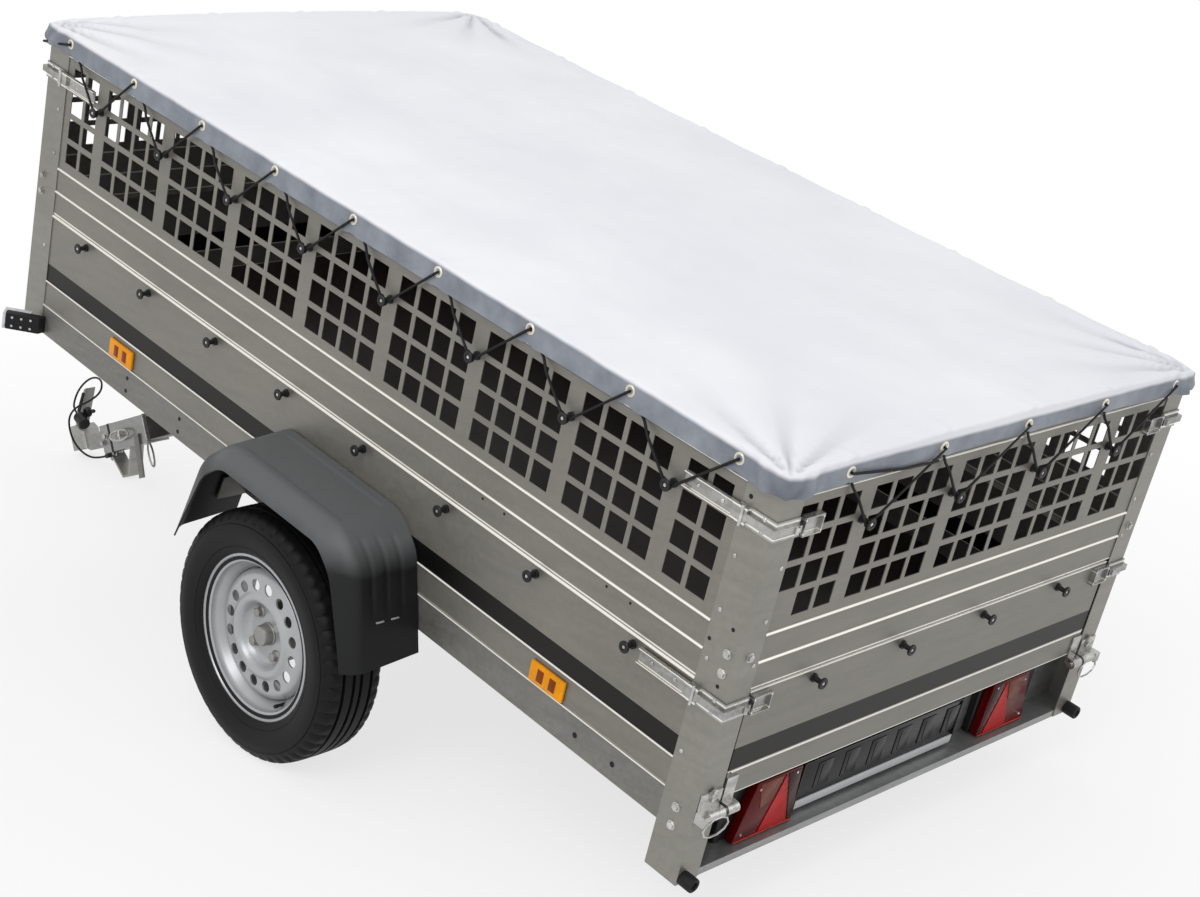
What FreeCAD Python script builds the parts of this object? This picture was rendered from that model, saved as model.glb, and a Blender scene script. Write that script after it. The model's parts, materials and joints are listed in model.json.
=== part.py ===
import FreeCAD, Part
import math
import os

V = FreeCAD.Vector

# The trailer is built with its bed level: x = 0 on the middle plane, y = 0 at the
# rear ends of the posts, z = 0 at the lower edge of the side rails.  It is then
# tipped about its axle until the wheels and the drawbar's stand reach the floor.

# Bed and its folded sheet
box_length = 2330.0
box_width = 1290.0
sheet = 2.0
rail_height = 70.0
rail_flange = 30.0
board_top = 307.0
box_height = 745.0
top_flange = 22.0
floor_thickness = 6.0
bead_height = 8.0
bead_crest = 3.0
bead_proud = 3.0
rib_lower = 135.0
upper_height = box_height - board_top
rib_shares = (0.1324, 0.2626, 0.8904)
fit_gap = 0.3
overrun = 5.0

# Corner posts: folded angles, the lower ones reach below the rails
post_side = 80.5
post_end = 59.5
post_drop = 98.0
post_joint_share = 0.11
post_joint = board_top + upper_height * post_joint_share

# Cross-members under the floor
cross_count = 4
cross_width = 40.0
cross_height = 56.0
cross_rear_gap = 470.0
cross_front_gap = 60.0

# Rear channel that holds the lamps and the number plate
channel_depth = 60.0
channel_lip = 17.0
buffer_radius = 15.0
buffer_length = 31.0
buffer_inset = 15.0

# Square-holed sheets of the upper box
hole_size = 47.5
hole_bar = 11.6
hole_row_bar = 13.0
hole_rows = 4
hole_band_shares = (0.3208, 0.8436)
hook_bar = 41.5
side_groups = 7
side_end_columns = 2
end_groups = 3
end_end_columns = 3

# Tarpaulin hooks, rope and cover
hook_radius = 5.0
hook_collar = 9.0
hook_collar_length = 5.0
hook_head = 12.0
hook_head_length = 5.0
hook_reach = 26.0
hook_sides = 8
head_sides = 12
hook_height = 284.0
mesh_hook_share = 0.7055
mesh_hook_height = board_top + upper_height * mesh_hook_share
cover_thickness = 3.0
cover_gap = 0.3
cover_crown = 14.0
hem_gap = 7.5
hem_depth = 46.0
eyelet_drop = 14.0
rope_radius = 2.8
rope_sides = 4
rope_lap = 1.0
rope_turn_drop = 25.0
rope_tuck_drop = 26.0
rope_tuck = 40.0
side_eyelet_share = 0.49
end_eyelet_share = 0.27

# Corner latches
latch_height = 38.0
latch_depth = 10.0
latch_plate = 3.0
keeper_length = 50.0
keeper_gap = 7.0
latch_wall = 3.0
latch_standoff = 2.0
lower_latch_height = 279.0
upper_latch_share = 0.7626
upper_latch_height = board_top + upper_height * upper_latch_share
lever_width = 30.0
lever_start = 92.0
lever_end = 208.0
lever_wall = 2.0
hinge_block_start = 58.0
hinge_block_margin = 3.0
tongue_width = 14.0

# Tailgate
tailgate_gap = 6.0
tailgate_bottom = 75.0
tailgate_rise = 229.0
gate_top_gap = 6.0
tailgate_depth = 18.0
tailgate_setback = 2.0
tailgate_rib = 129.0
strap_width = 30.0
strap_height = 45.0
strap_thickness = 4.0
gate_pin_radius = 5.0
gate_pin_drop = 16.0
gate_pin_out = 14.0
gate_eye_radius = 11.0
pin_block = 22.0
pin_loop_wide = 34.0
pin_loop_high = 20.0
pin_loop_sides = 10
wire_radius = 1.6
wire_sides = 5

# Lamps and plates
lamp_width = 205.0
lamp_height = 138.0
lamp_depth = 40.0
lamp_base_depth = 18.0
lamp_from_side = 136.0
lens_foot = 30.0
lens_slant = 34.0
lens_inner = 12.0
lens_margin = 6.0
lens_lip = 3.0
lamp_gap = lamp_from_side + lamp_width
plate_left_gap = 14.0
plate_right_gap = 74.0
plate_width = box_width - lamp_gap - lamp_gap - plate_left_gap - plate_right_gap
plate_height = 112.0
plate_thickness = 4.0
plate_depth = 34.0
marker_reach = 70.0
marker_forward = 62.0
marker_height = 42.0
marker_rear_half = 14.0
marker_front_half = 8.0
marker_from_front = 96.0
marker_level = 24.0
marker_lens_depth = 15.0
marker_lens_wrap = 8.0
marker_lens_start_share = 0.4
reflector_length = 95.0
reflector_height = 44.0
reflector_depth = 7.0
reflector_rear = 408.0
reflector_from_front = 428.0
reflector_level = 100.0

# Wheels: 13 inch rim and 155/70 tyre
axle_y = 1096.0
axle_z = -168.0
tyre_radius = 273.6
tyre_width = 157.0
tyre_wall = 12.0
tread_wall = 16.0
tread_share = 0.78
bead_share = 0.93
tyre_clear = 9.0
rim_radius = 180.0
rim_seat_radius = 165.0
rim_width = 127.0
rim_wall = 3.5
rim_well_radius = 145.0
disc_offset = 22.0
vent_count = 16
vent_radius = 13.0
vent_circle = 110.0
vent_sides = 10
hub_radius = 66.0
hub_length = 62.0
cap_radius = 24.0
cap_length = 26.0
nut_circle = 50.0
nut_radius = 10.0
nut_length = 12.0
nut_count = 4
nut_sides = 6
barrel_well_share = 0.36
barrel_seat_share = 0.7
spindle_radius = 15.0

# Axle: a cross tube with trailing arms
axle_tube = 60.0
axle_tube_wall = 4.0
axle_tube_y = 1236.0
axle_tube_z = -96.0
axle_tube_inset = 60.0
arm_width = 26.0
arm_depth = 48.0
bracket_thickness = 6.0
bracket_length = 130.0

# Mudguards: a moulded arch in five flats, with a flared outer lip
guard_wall = 4.0
guard_inner_rise = 14.0
guard_reach = 150.0
guard_lip_reach = 185.0
guard_top_rear = -203.0
guard_top_front = 175.0
guard_top_height = 372.0
guard_shoulder_rear = -275.0
guard_shoulder_front = 260.0
guard_shoulder_rear_height = 318.0
guard_shoulder_front_height = 293.0
guard_foot_rear = -338.0
guard_foot_front = 306.0
guard_foot_height = 110.0
lip_top_rear = -183.0
lip_top_front = 151.0
lip_top_height = 335.0
lip_shoulder_rear = -237.0
lip_shoulder_front = 203.0
lip_shoulder_height = 291.0
lip_foot_rear = -318.0
lip_foot_front = 271.0
stay_thickness = 4.0
stay_rise = 60.0
stay_overlap = 60.0

# A shallow recess in the mudguard's crown
recess_depth = 1.5
recess_margin = 22.0

# Drawbar, drawn level and then swung down about its pivot
pivot_from_front = 450.0
pivot_y = box_length - pivot_from_front
pivot_z = -48.0
drawbar_angle = 34.2
beam_width = 60.0
beam_height = 74.0
beam_wall = 4.0
beam_tail = 30.0
beam_length = 925.0
nose_start = 900.0
nose_end = 1150.0
nose_wall = 4.0
pivot_pin_radius = 10.0
pivot_eye_wall = 3.0
ear_thickness = 8.0
ear_gap = 1.0
ear_width = 70.0
pin_head_radius = 16.0
pin_head_length = 8.0

# Stand on the drawbar: a bent flat bar
stand_width = 44.0
stand_thickness = 6.0
stand_depth = 122.0
stand_front_top = 1142.0
stand_front_foot = 1099.0
stand_rear_foot = 1062.0
stand_rear_top = 1020.0
leg_place = 949.0
leg_lean = 20.0
leg_width = 24.0
leg_thickness = 6.0
leg_drop = 136.0

# Ball coupling
ball_radius = 25.0
socket_centre = 1296.0
socket_rise = 14.0
coupling_tail = 1110.0
neck_half = 23.0
neck_low = -20.0
neck_high = 26.0
neck_end = 1244.0
head_half = 31.0
head_low = -10.0
head_front = 1340.0
head_front_rise = 26.0
head_top = 64.0
head_top_start = 1284.0
head_top_end = 1316.0
handle_width = 34.0
handle_thickness = 14.0
handle_base_along = 1286.0
handle_elbow_along = 1262.0
handle_elbow_rise = 96.0
handle_tip_along = 1206.0
handle_tip_rise = 163.0
tilt_pin_radius = 7.0
tilt_pin_along = 1030.0
tilt_pin_out = 14.0
tilt_loop_wide = 52.0
tilt_loop_high = 15.0
tilt_loop_sides = 12
tilt_wire = 2.4
safety_loop_along = 956.0
safety_loop_wide = 13.0
safety_loop_high = 36.0

# Electric lead and its plug
lead_radius = 3.0
gland_radius = 7.0
gland_length = 16.0
plug_radius = 17.0
plug_length = 44.0


def block(x0, x1, y0, y1, z0, z1):
    """A box between two corners."""
    low = V(min(x0, x1), min(y0, y1), min(z0, z1))
    return Part.makeBox(abs(x1 - x0), abs(y1 - y0), abs(z1 - z0), low)


def face_of(points):
    return Part.Face(Part.makePolygon([V(*p) for p in points + points[:1]]))


def prism_x(outline, x0, x1):
    """An outline in y and z, drawn out from x0 to x1."""
    return face_of([(x0, y, z) for y, z in outline]).extrude(V(x1 - x0, 0, 0))


def prism_y(outline, y0, y1):
    """An outline in x and z, drawn out from y0 to y1."""
    return face_of([(x, y0, z) for x, z in outline]).extrude(V(0, y1 - y0, 0))


def rod(start, end, radius):
    """A round bar between two points."""
    a = V(*start)
    b = V(*end)
    return Part.makeCylinder(radius, (b - a).Length, a, b - a)


def flat_rod(start, end, radius, sides):
    """A bar with flat sides between two points; its flats lie at the radius."""
    a = V(*start)
    axis = V(*end) - a
    steep = abs(axis.z) > math.hypot(axis.x, axis.y)
    across = axis.cross(V(1, 0, 0) if steep else V(0, 0, 1))
    across.normalize()
    over = axis.cross(across)
    over.normalize()
    corner = radius / math.cos(math.pi / sides)
    ring = []
    for i in range(sides):
        turn = math.pi * (i + i + 1) / sides
        ring.append(a + across * (corner * math.cos(turn)) + over * (corner * math.sin(turn)))
    return Part.Face(Part.makePolygon(ring + ring[:1])).extrude(axis)


def flat_run(points, radius, sides, lap):
    """Flat-sided bars through the points, each a little longer at both ends so that they join."""
    bars = []
    for start, end in zip(points, points[1:]):
        a = V(*start)
        b = V(*end)
        ahead = (b - a).normalize() * lap
        bars.append(flat_rod(a - ahead, b + ahead, radius, sides))
    return bars


def wire_loop(centre, wide_way, high_way, sides, radius):
    """A closed oval of wire; the two vectors are its half axes."""
    points = []
    for i in range(sides + 1):
        turn = 2 * math.pi * i / sides
        points.append(V(*centre) + V(*wide_way) * math.cos(turn) + V(*high_way) * math.sin(turn))
    return flat_run(points, radius, wire_sides, radius / 2)


def fused(shapes):
    first = shapes[0]
    return first.multiFuse(shapes[1:]).removeSplitter() if len(shapes) > 1 else first


def joined(shapes):
    """Solids that don't touch, kept side by side in one node."""
    solids = []
    for shape in shapes:
        solids.extend(shape.Solids)
    return Part.Compound(solids)


def mirrored(shape):
    return shape.mirror(V(0, 0, 0), V(1, 0, 0))


def both_sides(shape):
    return joined([shape, mirrored(shape)])


side = box_width / 2
left = -side


def bead(face, height, start, end, along_y):
    """A pressed bead on a sheet's outer face."""
    sign = -1 if face < 0 else 1
    half = bead_height / 2
    crest = bead_crest / 2
    outline = [
        (face, height - half),
        (face + sign * bead_proud, height - crest),
        (face + sign * bead_proud, height + crest),
        (face, height + half),
    ]
    if along_y:
        return prism_y(outline, start, end)
    return prism_x(outline, start, end)


def side_sheet(bottom, top, beads):
    """The left wall's sheet: flat behind the posts, with beads between them and a folded top."""
    outer = left + sheet
    wall = block(outer, outer + sheet, sheet, box_length - sheet, bottom, top)
    seat = sheet + sheet + sheet
    fold = block(outer, outer + top_flange, seat, box_length - seat, top - sheet, top)
    ribs = [bead(outer, z, post_side, box_length - post_side, True) for z in beads]
    return fused([wall, fold] + ribs)


def end_sheet(y_outer, outward, bottom, top, beads):
    """A cross wall between the side walls; outward is the way its face looks, -1 or 1."""
    inner = side - sheet - sheet - fit_gap
    back = y_outer - outward * sheet
    wall = block(-inner, inner, y_outer, back, bottom, top)
    reach_in = inner - top_flange - fit_gap
    fold = block(-reach_in, reach_in, y_outer, y_outer - outward * top_flange, top - sheet, top)
    reach = side - post_end
    half = bead_height / 2
    crest = bead_crest / 2
    ribs = []
    for z in beads:
        outline = [
            (y_outer, z - half),
            (y_outer + outward * bead_proud, z - crest),
            (y_outer + outward * bead_proud, z + crest),
            (y_outer, z + half),
        ]
        ribs.append(prism_x(outline, -reach, reach))
    return fused([wall, fold] + ribs)


def columns(groups, end_columns, middle):
    """The centres of a mesh's columns: end columns, then groups of four, then end columns."""
    pitch = hole_size + hole_bar
    counts = [end_columns] + [4] * groups + [end_columns]
    places = []
    at = 0.0
    for count in counts:
        for step in range(count):
            places.append(at + step * pitch)
        at += (count - 1) * pitch + hole_size + hook_bar
    shift = middle - (places[0] + places[-1]) / 2
    return [place + shift for place in places]


def hole_band():
    """The lowest and highest edge of the mesh's holes."""
    low, high = hole_band_shares
    return board_top + upper_height * low, board_top + upper_height * high


def row_places():
    low, high = hole_band()
    pitch = (high - low + hole_row_bar) / hole_rows
    return [low + (pitch - hole_row_bar) / 2 + row * pitch for row in range(hole_rows)]


def row_half():
    low, high = hole_band()
    return ((high - low + hole_row_bar) / hole_rows - hole_row_bar) / 2


def upper_ribs():
    return [board_top + upper_height * share for share in rib_shares]


def bar_places(groups, end_columns, middle):
    """The centres of the wide bars, where the hooks are."""
    places = columns(groups, end_columns, middle)
    bars = []
    for before, after in zip(places, places[1:]):
        if after - before > hole_size + hole_bar + overrun:
            bars.append((before + after) / 2)
    return bars


def side_mesh():
    wall = side_sheet(board_top, box_height, upper_ribs())
    half = hole_size / 2
    high = row_half()
    cuts = []
    for y in columns(side_groups, side_end_columns, box_length / 2):
        for z in row_places():
            x0 = left - overrun
            x1 = left + sheet + sheet + overrun
            cuts.append(block(x0, x1, y - half, y + half, z - high, z + high))
    return wall.cut(Part.Compound(cuts))


def end_mesh(y_outer, outward, bottom):
    """A cross wall's mesh.  Its outermost columns lack the lowest row."""
    wall = end_sheet(y_outer, outward, bottom, box_height, upper_ribs())
    half = hole_size / 2
    high = row_half()
    xs = columns(end_groups, end_end_columns, 0.0)
    zs = row_places()
    cuts = []
    for x in xs:
        for z in zs:
            if z == zs[0] and x in (xs[0], xs[-1]):
                continue
            y0 = y_outer + outward * overrun
            y1 = y_outer - outward * (sheet + overrun)
            cuts.append(block(x - half, x + half, y0, y1, z - high, z + high))
    return wall.cut(Part.Compound(cuts))


def corner_post(bottom, top):
    """The rear left post: a folded angle."""
    along = block(left, left + sheet, 0, post_side, bottom, top)
    across = block(left, left + post_end, 0, sheet, bottom, top)
    return fused([along, across])


def to_front(shape):
    """The same piece at the front end."""
    return shape.mirror(V(0, box_length / 2, 0), V(0, 1, 0))


def corner_posts(rear_bottom, front_bottom, top):
    """All four posts; the rear pair reaches further down."""
    rear = corner_post(rear_bottom, top)
    front = to_front(corner_post(front_bottom, top))
    return joined([rear, mirrored(rear), front, mirrored(front)])


def side_rail():
    outer = left + sheet
    y0 = channel_depth + fit_gap
    y1 = box_length - sheet - sheet - sheet
    web = block(outer, outer + sheet, y0, y1, 0, rail_height)
    low = block(outer, outer + rail_flange, y0, y1, 0, sheet)
    high = block(outer, outer + rail_flange, y0, y1, rail_height - sheet, rail_height)
    return fused([web, low, high])


def cross_member(y):
    reach = side - sheet - sheet
    z1 = rail_height - sheet
    z0 = z1 - cross_height
    top = block(-reach, reach, y, y + cross_width, z1 - sheet, z1)
    web = block(-reach, reach, y, y + sheet, z0, z1)
    foot = block(-reach, reach, y, y + cross_width, z0, z0 + sheet)
    return fused([top, web, foot])


def cross_places():
    first = channel_depth + cross_rear_gap
    last = box_length - cross_front_gap - cross_width
    step = (last - first) / (cross_count - 1)
    return [first + step * i for i in range(cross_count)]


def rear_channel():
    reach = side - sheet
    z0 = -post_drop
    z1 = rail_height - fit_gap
    web = block(-reach, reach, channel_depth, channel_depth - sheet, z0, z1)
    foot = block(-reach, reach, sheet, channel_depth, z0 + channel_lip - sheet, z0 + channel_lip)
    lip = block(-reach, reach, sheet, sheet + sheet, z0, z0 + channel_lip)
    return fused([web, foot, lip])


def hook(x, y, z, direction):
    """A tarpaulin hook: a collar on the sheet, a neck and a round head."""
    d = V(*direction)
    base = V(x, y, z)
    tip = base + d * hook_reach
    neck = flat_rod(base, tip, hook_radius, hook_sides)
    collar = flat_rod(base, base + d * hook_collar_length, hook_collar, hook_sides)
    head = flat_rod(tip - d * hook_head_length, tip, hook_head, head_sides)
    return fused([neck, collar, head])


def side_hooks():
    hooks = []
    for y in side_places():
        for z in (hook_height, mesh_hook_height):
            hooks.append(hook(left + sheet, y, z, (-1, 0, 0)))
    return hooks


def end_hooks(y, outward, heights):
    return [hook(x, y, z, (0, outward, 0)) for x in end_places() for z in heights]


def side_places():
    return bar_places(side_groups, side_end_columns, box_length / 2)


def end_places():
    return bar_places(end_groups, end_end_columns, 0.0)


def eyelet_places(places, share):
    """Where one wall's eyelets are: one before each of its hooks, and a last one."""
    pitch = places[1] - places[0]
    first = places[0] - pitch * share
    return [first + pitch * i for i in range(len(places) + 1)]


def on_left(along, out, z):
    return V(left - out, along, z)


def on_right(along, out, z):
    return V(side + out, along, z)


def on_rear(along, out, z):
    return V(along, -out, z)


def on_front(along, out, z):
    return V(along, box_length + out, z)


eyelet_height = box_height - eyelet_drop
hem_edge = box_height - hem_depth
rope_out = hem_gap + cover_thickness + rope_radius + fit_gap
rope_in = hem_gap - rope_radius - fit_gap
eyelet_bore = rope_radius + fit_gap
roped_walls = (
    (on_left, side_places, side_eyelet_share),
    (on_right, side_places, side_eyelet_share),
    (on_rear, end_places, end_eyelet_share),
    (on_front, end_places, end_eyelet_share),
)


def cover():
    """The cover: a crowned top with its hem hanging down all round, open at the eyelets."""
    lip = hem_gap + cover_thickness
    x1 = side + lip
    y0 = -lip
    y1 = box_length + lip
    z0 = box_height + cover_gap
    z1 = z0 + cover_thickness
    eave = z1 + cover_thickness
    ridge = eave + cover_crown
    roof = [(-x1, hem_edge), (x1, hem_edge), (x1, eave), (0, ridge), (-x1, eave)]
    outer = prism_y(roof, y0, y1)
    x2 = x1 - cover_thickness
    low = hem_edge - overrun
    under = [(-x2, low), (x2, low), (x2, z0), (0, z0 + cover_crown), (-x2, z0)]
    inner = prism_y(under, y0 + cover_thickness, y1 - cover_thickness)
    holes = []
    for place_on, hooks_of, share in roped_walls:
        for along in eyelet_places(hooks_of(), share):
            start = place_on(along, hem_gap - overrun, eyelet_height)
            end = place_on(along, hem_gap + cover_thickness + overrun, eyelet_height)
            holes.append(flat_rod(start, end, eyelet_bore, rope_sides))
    return outer.cut(inner).cut(Part.Compound(holes))


def rope_wall(place_on, places, share):
    """One wall's rope: out of an eyelet, down round the next hook's neck, up behind the hem, and so on."""
    wrap = hook_radius + rope_radius + fit_gap
    eyelets = eyelet_places(places, share)
    low = hem_edge - rope_turn_drop
    high = hem_edge - rope_radius - rope_radius
    points = [place_on(eyelets[0], rope_in, eyelet_height)]
    for place, start, end in zip(places, eyelets, eyelets[1:]):
        rise = eyelet_height - mesh_hook_height
        lean = (end - place - wrap) / rise
        points.append(place_on(start, rope_out, eyelet_height))
        points.append(place_on(place - wrap, rope_out, mesh_hook_height))
        points.append(place_on(place - wrap, rope_out, mesh_hook_height - wrap))
        points.append(place_on(place + wrap, rope_out, mesh_hook_height - wrap))
        points.append(place_on(place + wrap, rope_out, mesh_hook_height))
        points.append(place_on(place + wrap + lean * (low - mesh_hook_height), rope_out, low))
        points.append(place_on(place + wrap + lean * (high - mesh_hook_height), rope_in, high))
        points.append(place_on(end, rope_in, eyelet_height))
    points.append(place_on(eyelets[-1], rope_out, eyelet_height))
    if place_on in (on_left, on_right):
        points.append(place_on(box_length + rope_out, rope_out, eyelet_height - rope_tuck_drop))
        points.append(place_on(box_length + rope_out, rope_out - rope_tuck, eyelet_height - rope_tuck_drop))
    return fused(flat_run(points, rope_radius, rope_sides, rope_lap))


def latch(height):
    """A corner latch, rear left: on the side a plate, a hinge block and a channel-shaped lever, and
    round the corner its second plate and the tongue that reaches to the keeper."""
    z0 = height - latch_height / 2
    z1 = z0 + latch_height
    out = left - latch_depth
    end = left + post_end
    plate_side = block(left - latch_plate, left - fit_gap, -latch_plate, post_side, z0, z1)
    plate_end = block(left, end, -latch_plate, -fit_gap, z0, z1)
    hinge = block(out, left - fit_gap, hinge_block_start, post_side, z0 + hinge_block_margin,
                  z1 - hinge_block_margin)
    low = height - lever_width / 2
    high = height + lever_width / 2
    lever = block(out, left - latch_standoff, hinge_block_start, lever_end, low, high)
    groove = block(out - overrun, left - latch_standoff - lever_wall, lever_start, lever_end + overrun,
                   low + lever_wall, high - lever_wall)
    half = tongue_width / 2
    tongue_side = block(out, left - fit_gap, -latch_depth, hinge_block_start + overrun, height - half,
                        height + half)
    tongue_end = block(left, end, -latch_depth, -fit_gap, height - half, height + half)
    side_half = fused([plate_side, hinge, lever.cut(groove), tongue_side])
    return joined([side_half, fused([plate_end, tongue_end])])


def keeper(height, face):
    """The catch that the latch grips, on the wall beside the rear left post."""
    x0 = left + post_end + keeper_gap
    z0 = height - latch_height / 2
    z1 = z0 + latch_height
    wall = latch_wall
    plate = block(x0, x0 + keeper_length, -latch_depth, face - fit_gap, z0, z1)
    groove = block(x0 + wall, x0 + keeper_length - wall, -latch_depth - overrun, -wall, z0 + wall, z1 - wall)
    return plate.cut(groove)


def corner_latches():
    lower = latch(lower_latch_height)
    upper = latch(upper_latch_height)
    catch = keeper(upper_latch_height, sheet + fit_gap)
    rear = [lower, mirrored(lower), upper, mirrored(upper), catch, mirrored(catch)]
    front = [to_front(upper), to_front(catch)]
    return joined(rear + front + [mirrored(piece) for piece in front])


def gate_keepers():
    return both_sides(keeper(lower_latch_height, tailgate_setback))


def tailgate_width():
    return box_width - post_end - post_end - tailgate_gap - tailgate_gap


gate_half = tailgate_width() / 2
gate_axis_y = -gate_pin_out
gate_axis_z = tailgate_bottom - gate_pin_drop


def tailgate_panel():
    y0 = tailgate_setback
    y1 = y0 + tailgate_depth
    z0 = tailgate_bottom
    z1 = z0 + tailgate_rise
    shell = block(-gate_half, gate_half, y0, y1, z0, z1)
    hollow = block(-gate_half + sheet, gate_half - sheet, y0 + sheet, y1 + overrun, z0 + sheet, z1 - sheet)
    half = bead_height / 2
    crest = bead_crest / 2
    outline = [
        (y0, tailgate_rib - half),
        (y0 - bead_proud, tailgate_rib - crest),
        (y0 - bead_proud, tailgate_rib + crest),
        (y0, tailgate_rib + half),
    ]
    rib = prism_x(outline, -gate_half + bead_height, gate_half - bead_height)
    return fused([shell.cut(hollow), rib])


def tailgate_strap(x):
    """A strap on the tailgate's face with the eye that turns on the hinge pin."""
    x0 = x - strap_width / 2
    x1 = x + strap_width / 2
    face = tailgate_setback - fit_gap
    plate = block(x0, x1, face - strap_thickness, face, gate_axis_z, tailgate_bottom + strap_height)
    eye = rod((x0, gate_axis_y, gate_axis_z), (x1, gate_axis_y, gate_axis_z), gate_eye_radius)
    web = block(x0, x1, gate_axis_y, face, gate_axis_z - strap_thickness, gate_axis_z + gate_eye_radius)
    bore = rod((x0 - overrun, gate_axis_y, gate_axis_z), (x1 + overrun, gate_axis_y, gate_axis_z),
               gate_pin_radius + fit_gap)
    return fused([plate, eye, web]).cut(bore)


strap_x = -gate_half + strap_width / 2


def tailgate_hinge():
    """The hinge's fixed half, rear left: a plate and a lug on the post, and the pin through the
    strap's eye, with a square block on its outer end and a wire loop."""
    x0 = left + sheet
    x1 = left + post_end - sheet
    low = gate_axis_z - gate_eye_radius
    lug = block(x0, x1, gate_axis_y, -fit_gap, low, gate_axis_z + gate_eye_radius)
    eye = rod((x0, gate_axis_y, gate_axis_z), (x1, gate_axis_y, gate_axis_z), gate_eye_radius)
    plate = block(x0, x1, -strap_thickness, -fit_gap, low, gate_axis_z + strap_height)
    end = strap_x + strap_width / 2 + gate_pin_radius
    outer = x0 - gate_pin_radius
    pin = rod((outer, gate_axis_y, gate_axis_z), (end, gate_axis_y, gate_axis_z), gate_pin_radius)
    half = pin_block / 2
    square = block(outer, x0 + half, gate_axis_y - half, gate_axis_y + half,
                   gate_axis_z - half, gate_axis_z + half)
    loop_centre = (x0 + pin_loop_wide, gate_axis_y - half, gate_axis_z - pin_loop_high)
    loop = wire_loop(loop_centre, (pin_loop_wide, 0, 0), (0, 0, pin_loop_high), pin_loop_sides, wire_radius)
    return fused([lug, eye, plate, pin, square] + loop)


def lamp(outer, inward):
    """A rear lamp: a base along its whole width and, in front, the lens with its slanted outer end."""
    y0 = channel_depth - sheet - fit_gap
    y1 = y0 - lamp_base_depth
    y2 = y0 - lamp_depth
    z0 = -post_drop + channel_lip + fit_gap
    z1 = z0 + lamp_height
    base = block(outer, outer + inward * lamp_width, y1, y0, z0, z1)
    outline = [
        (lens_foot, z0 + lens_lip),
        (lamp_width - lens_lip, z0 + lens_lip),
        (lamp_width - lens_inner, z1 - lens_margin),
        (lens_foot + lens_slant, z1 - lens_margin),
    ]
    lens = prism_y([(outer + inward * along, z) for along, z in outline], y2, y1)
    return fused([base, lens])


def number_plate():
    x0 = left + lamp_gap + plate_left_gap
    x1 = x0 + plate_width
    y0 = plate_depth
    z0 = -post_drop + channel_lip + floor_thickness
    z1 = z0 + plate_height
    plate = block(x0, x1, y0, y0 + plate_thickness, z0, z1)
    holder = block(x0, x1, y0 + plate_thickness, channel_depth - sheet - fit_gap, z0, z0 + channel_lip)
    return fused([plate, holder])


def prism_z(outline, z0, z1):
    """An outline in x and y, drawn up from z0 to z1."""
    return face_of([(x, y, z0) for x, y in outline]).extrude(V(0, 0, z1 - z0))


def marker_point(along, ahead):
    """A place in plan, along the left marker's arm from its root and square to it, forwards."""
    length = math.hypot(marker_reach, marker_forward)
    across = marker_reach / length
    forth = marker_forward / length
    x = left + sheet - fit_gap - across * along + forth * ahead
    y = box_length - marker_from_front + forth * along + across * ahead
    return x, y


def marker_arm():
    """A side marker's rubber arm, front left: it leans out and forwards from the rail."""
    length = math.hypot(marker_reach, marker_forward)
    low = marker_level - marker_height / 2
    plan = [
        marker_point(-marker_rear_half, -marker_rear_half),
        marker_point(length, -marker_rear_half),
        marker_point(length, marker_front_half),
        marker_point(-marker_rear_half, marker_front_half),
    ]
    arm = prism_z(plan, low, low + marker_height)
    wall = left + sheet - fit_gap
    beyond = wall + marker_reach
    first = box_length - marker_from_front - marker_reach
    return arm.cut(block(wall, beyond, first, box_length, low - overrun, low + marker_height + overrun))


def marker_lens():
    """The white lens that wraps the arm's tip and the outer part of its front."""
    length = math.hypot(marker_reach, marker_forward)
    low = marker_level - marker_height / 2
    front = marker_front_half + fit_gap
    plan = [
        marker_point(length + fit_gap, -marker_rear_half),
        marker_point(length + marker_lens_wrap, -marker_rear_half),
        marker_point(length + marker_lens_wrap, front + marker_lens_depth),
        marker_point(length * marker_lens_start_share, front + marker_lens_depth),
        marker_point(length * marker_lens_start_share, front),
        marker_point(length + fit_gap, front),
    ]
    return prism_z(plan, low, low + marker_height)


def reflectors():
    x1 = left + sheet - fit_gap
    x0 = x1 - reflector_depth
    half = reflector_length / 2
    z0 = reflector_level - reflector_height / 2
    z1 = z0 + reflector_height
    pieces = []
    for y in (reflector_rear, box_length - reflector_from_front):
        piece = block(x0, x1, y - half, y + half, z0, z1)
        pieces.extend([piece, mirrored(piece)])
    return joined(pieces)


def rear_buffer():
    x = left + buffer_inset
    z = -post_drop + buffer_radius
    return rod((x, -fit_gap, z), (x, -buffer_length, z), buffer_radius)


wheel_x = left - tyre_clear - tyre_width / 2


def turned(profile, x_centre):
    """A profile of offset along the axle and radius, turned about the left wheel's axle."""
    points = [V(x_centre + along, axle_y, axle_z + radius) for along, radius in profile]
    face = Part.Face(Part.makePolygon(points + points[:1]))
    return face.revolve(V(x_centre, axle_y, axle_z), V(1, 0, 0), 360)


def tyre():
    """A hollow tyre: bead, bulging wall, shoulder and nearly flat tread."""
    half = tyre_width / 2
    tread_half = half * tread_share
    bead_half = rim_width / 2 - rim_wall - fit_gap
    bulge = (rim_seat_radius + tyre_radius) / 2
    shoulder = tyre_radius - tread_wall / 2
    outer = [
        (-bead_half, rim_seat_radius),
        (-bead_half, rim_radius + fit_gap),
        (-half * bead_share, rim_radius + tyre_wall),
        (-half, bulge),
        (-half * bead_share, shoulder - tread_wall),
        (-tread_half, tyre_radius),
    ]
    inner = [
        (-bead_half + tyre_wall, rim_seat_radius),
        (-tread_half, shoulder - tread_wall),
    ]
    return turned(mirror_loop(outer) + mirror_loop(inner)[::-1], wheel_x)


def mirror_loop(points):
    """Points of a half profile, then the same ones mirrored back."""
    return points + [(-a, r) for a, r in reversed(points)]


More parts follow.
